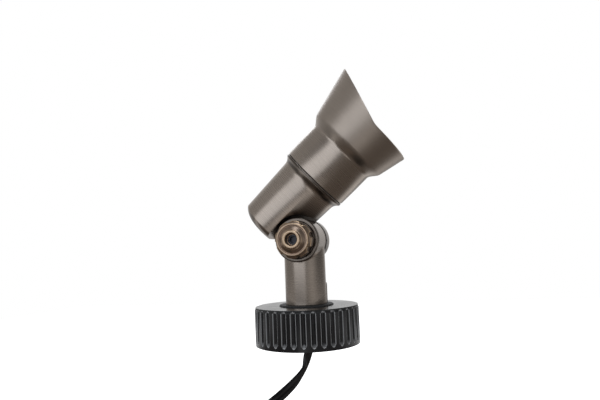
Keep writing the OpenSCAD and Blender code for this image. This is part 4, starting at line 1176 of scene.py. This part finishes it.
class FLOOD_OT_lamp(bpy.types.Operator):
    """Facets the lamp's reflector and finishes the lamp, its socket and the lens"""
    bl_idname = "flood.lamp"
    bl_label = "Lamp and lens"

    def execute(self, context):
        self.reflector()
        repaint(lamp_front_glass="lens_glass", lens="lens_glass", lens_retainer="zinc_steel",
                lens_gasket="seal_rubber", lamp_base="socket_ceramic", lamp_socket="socket_ceramic",
                lamp_pins="zinc_steel", socket_contacts="thread_brass", socket_screws="zinc_steel",
                socket_leads="lead_vinyl", lamp_capsule="capsule_glass")
        return {"FINISHED"}

    def reflector(self):
        """Lamp bowl: radius grows with the root of its height, and shallow facets ripple its inside."""
        neck, rim, front, step = mm([37.2, 64.2, 67.2, 65.75])
        throat, wall, ripple = mm([8.5, 1.2, 0.22])
        angle = circle(192)
        share = np.linspace(0, 1, 60)[:, None]
        bowl = throat + 15.3 * MM * share
        height = neck + (rim - neck) * share ** 2
        facet = ripple * np.abs(np.sin(share * 9 * math.pi)) * np.abs(np.sin(angle * 16))
        inside = bowl - wall - facet * (share > 0.08)
        lip_out, lip_edge, lip_in, opening = mm([25.0, 24.6, 24.35, 22.7])
        lip = np.array([[lip_edge, rim], [lip_out, rim + 0.4 * MM], [lip_out, front - 0.4 * MM],
                        [lip_edge, front], [lip_in, front], [lip_in, step], [opening, step]])
        grid = np.concatenate([
            spin(np.array([[0.0, neck]]), len(angle)), around_axis(bowl, angle, height),
            spin(lip, len(angle)), around_axis(inside, angle, height + 0.7 * MM)[::-1],
            spin(np.array([[0.0, neck + wall]]), len(angle))])
        piece = build("faceted_reflector", [{"points": on_head(grid)}], 30.0, 1e-6)
        dress(piece, material("reflector"), "head", "reflector_coat", "lamp_reflector")


# Studio

CARDS = (
    ("front_card", (-0.12, -0.37, 0.170), (0.50, 0.275), 0.47),
    ("high_card", (0.05, -0.55, 0.44), (0.30, 0.18), 0.3),
    ("back_card", (-0.10, 0.55, 0.50), (0.50, 0.20), 0.5),
    ("top_card", (0.1, -0.1, 0.80), (0.30, 0.30), 0.9))
CARD_COLOR = (0.94, 1.0, 1.08)
AIM = 0.12 * UP
# Azimuth, elevation and spread in degrees, and strength
PATCHES = ((-165, 15, 34, 0.9), (45, -4, 20, 0.55), (-68, 28, 24, 0.38))


def towards(azimuth, elevation):
    """Direction at an angle round from the front, and above the floor, in degrees."""
    a, e = math.radians(azimuth), math.radians(elevation)
    return np.array([math.sin(a) * math.cos(e), -math.cos(a) * math.cos(e), math.sin(e)])


class FLOOD_OT_studio(bpy.types.Operator):
    """Lays the white floor and sets the soft lamps and the surroundings"""
    bl_idname = "flood.studio"
    bl_label = "Studio"

    def execute(self, context):
        self.floor()
        self.world(context)
        for card in CARDS:
            self.lamp(context, *card)
        context.scene.view_settings.view_transform = "Standard"
        return {"FINISHED"}

    def lamp(self, context, name, place, size, power):
        """One soft rectangular lamp that faces the object."""
        light = bpy.data.lights.new(name, "AREA")
        light.shape = "RECTANGLE"
        light.size, light.size_y = size
        light.energy = power
        light.color = CARD_COLOR
        holder = bpy.data.objects.new(name, light)
        away = unit(np.array(place) - AIM)
        side = unit(np.cross(UP, away + 1e-6 * ACROSS))
        basis = Matrix((side, np.cross(away, side), away)).transposed().to_4x4()
        holder.matrix_world = Matrix.Translation(place) @ basis
        context.scene.collection.objects.link(holder)

    def floor(self):
        """Pale floor: near white to the camera, with the object's shadow.

        Reflections alone see painted light on it: a glowing bright oval, painted shade round that, and a
        glowing pale ring far out.
        """
        points = np.array([[[x, y, FLOOR] for x in (-1.0, 1.0)] for y in (-0.6, 1.0)])
        floor = build("floor", [{"points": points, "wrap_columns": False}])
        finish = Finish("floor_white")
        finish.set(Base_Color=(0.9, 0.9, 0.9, 1.0), Roughness=0.9)
        oval = finish.place((0, 0, math.radians(20.5)), (1 / 0.075, 1 / 0.24, 1), (0.03, -0.38, FLOOR))
        disc = finish.place(centre=(0.0, -0.35, FLOOR))
        near, far = [finish.node("ShaderNodeVectorMath", {0: vector}, operation="LENGTH").outputs["Value"]
                     for vector in (oval, disc)]
        # Painted light for reflections: a bright oval with painted shade round it.
        spot = finish.ramp(near, (0.62, (0.95,) * 3), (1.0, (0.15, 0.13, 0.115)))
        ring = finish.ramp(far, *[(place, (level,) * 3) for place, level in
                                  ((0.50, 0.0), (0.64, 0.9), (0.86, 0.9), (0.96, 0.2))])
        seen = finish.blend(1.0, spot, ring, blend_type="LIGHTEN")
        # Glow seen only in reflections: painted light and shade, not a lamp.
        card = finish.node("ShaderNodeEmission", {"Color": seen}).outputs[0]
        paper = finish.node("ShaderNodeEmission", {"Strength": 0.75}).outputs[0]
        even = finish.shader.outputs[0]
        clear = finish.node("ShaderNodeAddShader", {0: even, 1: paper}).outputs[0]
        finish.feed(finish.nodes["Material Output"].inputs["Surface"], finish.by_ray(even, card, clear))
        floor.data.materials.append(finish.material)

    def world(self, context):
        """White to the camera, even to diffuse light, and soft bright patches in reflections.

        A patch of strength a round the direction d is a exp(k (v . d - 1)) for a view direction v.
        """
        world = bpy.data.worlds.new("studio")
        context.scene.world = world
        world.use_nodes = True
        tree = Nodes(world.node_tree)
        tree.nodes.clear()
        view = tree.node("ShaderNodeTexCoord").outputs["Generated"]
        level = 0.10
        for azimuth, elevation, spread, strength in PATCHES:
            dot = tree.node("ShaderNodeVectorMath", {0: view, 1: towards(azimuth, elevation)},
                            operation="DOT_PRODUCT").outputs["Value"]
            sharp = 1 / math.radians(spread) ** 2
            bell = tree.math("EXPONENT", tree.math("MULTIPLY_ADD", dot, sharp, -sharp))
            level = tree.math("MULTIPLY_ADD", bell, strength, level)
        patches = tree.node("ShaderNodeBackground", {"Strength": level}).outputs[0]
        even, white = [tree.node("ShaderNodeBackground", {"Color": (grey, grey, grey, 1)}).outputs[0]
                       for grey in (0.7, 1)]
        tree.node("ShaderNodeOutputWorld", {"Surface": tree.by_ray(even, patches, white)})


# Panel, registering and the run

STEPS = (FLOOD_OT_camera, FLOOD_OT_cord, FLOOD_OT_cap, FLOOD_OT_base_joint, FLOOD_OT_stem, FLOOD_OT_knob,
         FLOOD_OT_housing, FLOOD_OT_hood, FLOOD_OT_lamp, FLOOD_OT_studio)


class FLOOD_PT_panel(bpy.types.Panel):
    """Lists the flood light's pieces and settings"""
    bl_label = "Flood Light"
    bl_idname = "FLOOD_PT_panel"
    bl_space_type = "VIEW_3D"
    bl_region_type = "UI"
    bl_category = "Flood Light"

    def draw(self, context):
        for step in STEPS:
            self.layout.operator(step.bl_idname)
        for group, kind in GROUPS.items():
            box = self.layout.box()
            box.label(text=group.capitalize())
            for name in kind.__annotations__:
                box.prop(sizes(group), name)


def register():
    for group, kind in GROUPS.items():
        bpy.utils.register_class(kind)
        setattr(bpy.types.Scene, "flood_" + group, PointerProperty(type=kind))
    for kind in (*STEPS, FLOOD_PT_panel):
        bpy.utils.register_class(kind)


def unregister():
    for kind in reversed((*STEPS, FLOOD_PT_panel)):
        bpy.utils.unregister_class(kind)
    for group, kind in GROUPS.items():
        delattr(bpy.types.Scene, "flood_" + group)
        bpy.utils.unregister_class(kind)


def main():
    """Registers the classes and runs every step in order."""
    register()
    for step in STEPS:
        operator = getattr(bpy.ops.flood, step.bl_idname.split(".")[1])
        if "FINISHED" not in operator():
            raise RuntimeError(step.bl_label + " did not finish")


if __name__ == "__main__":
    main()
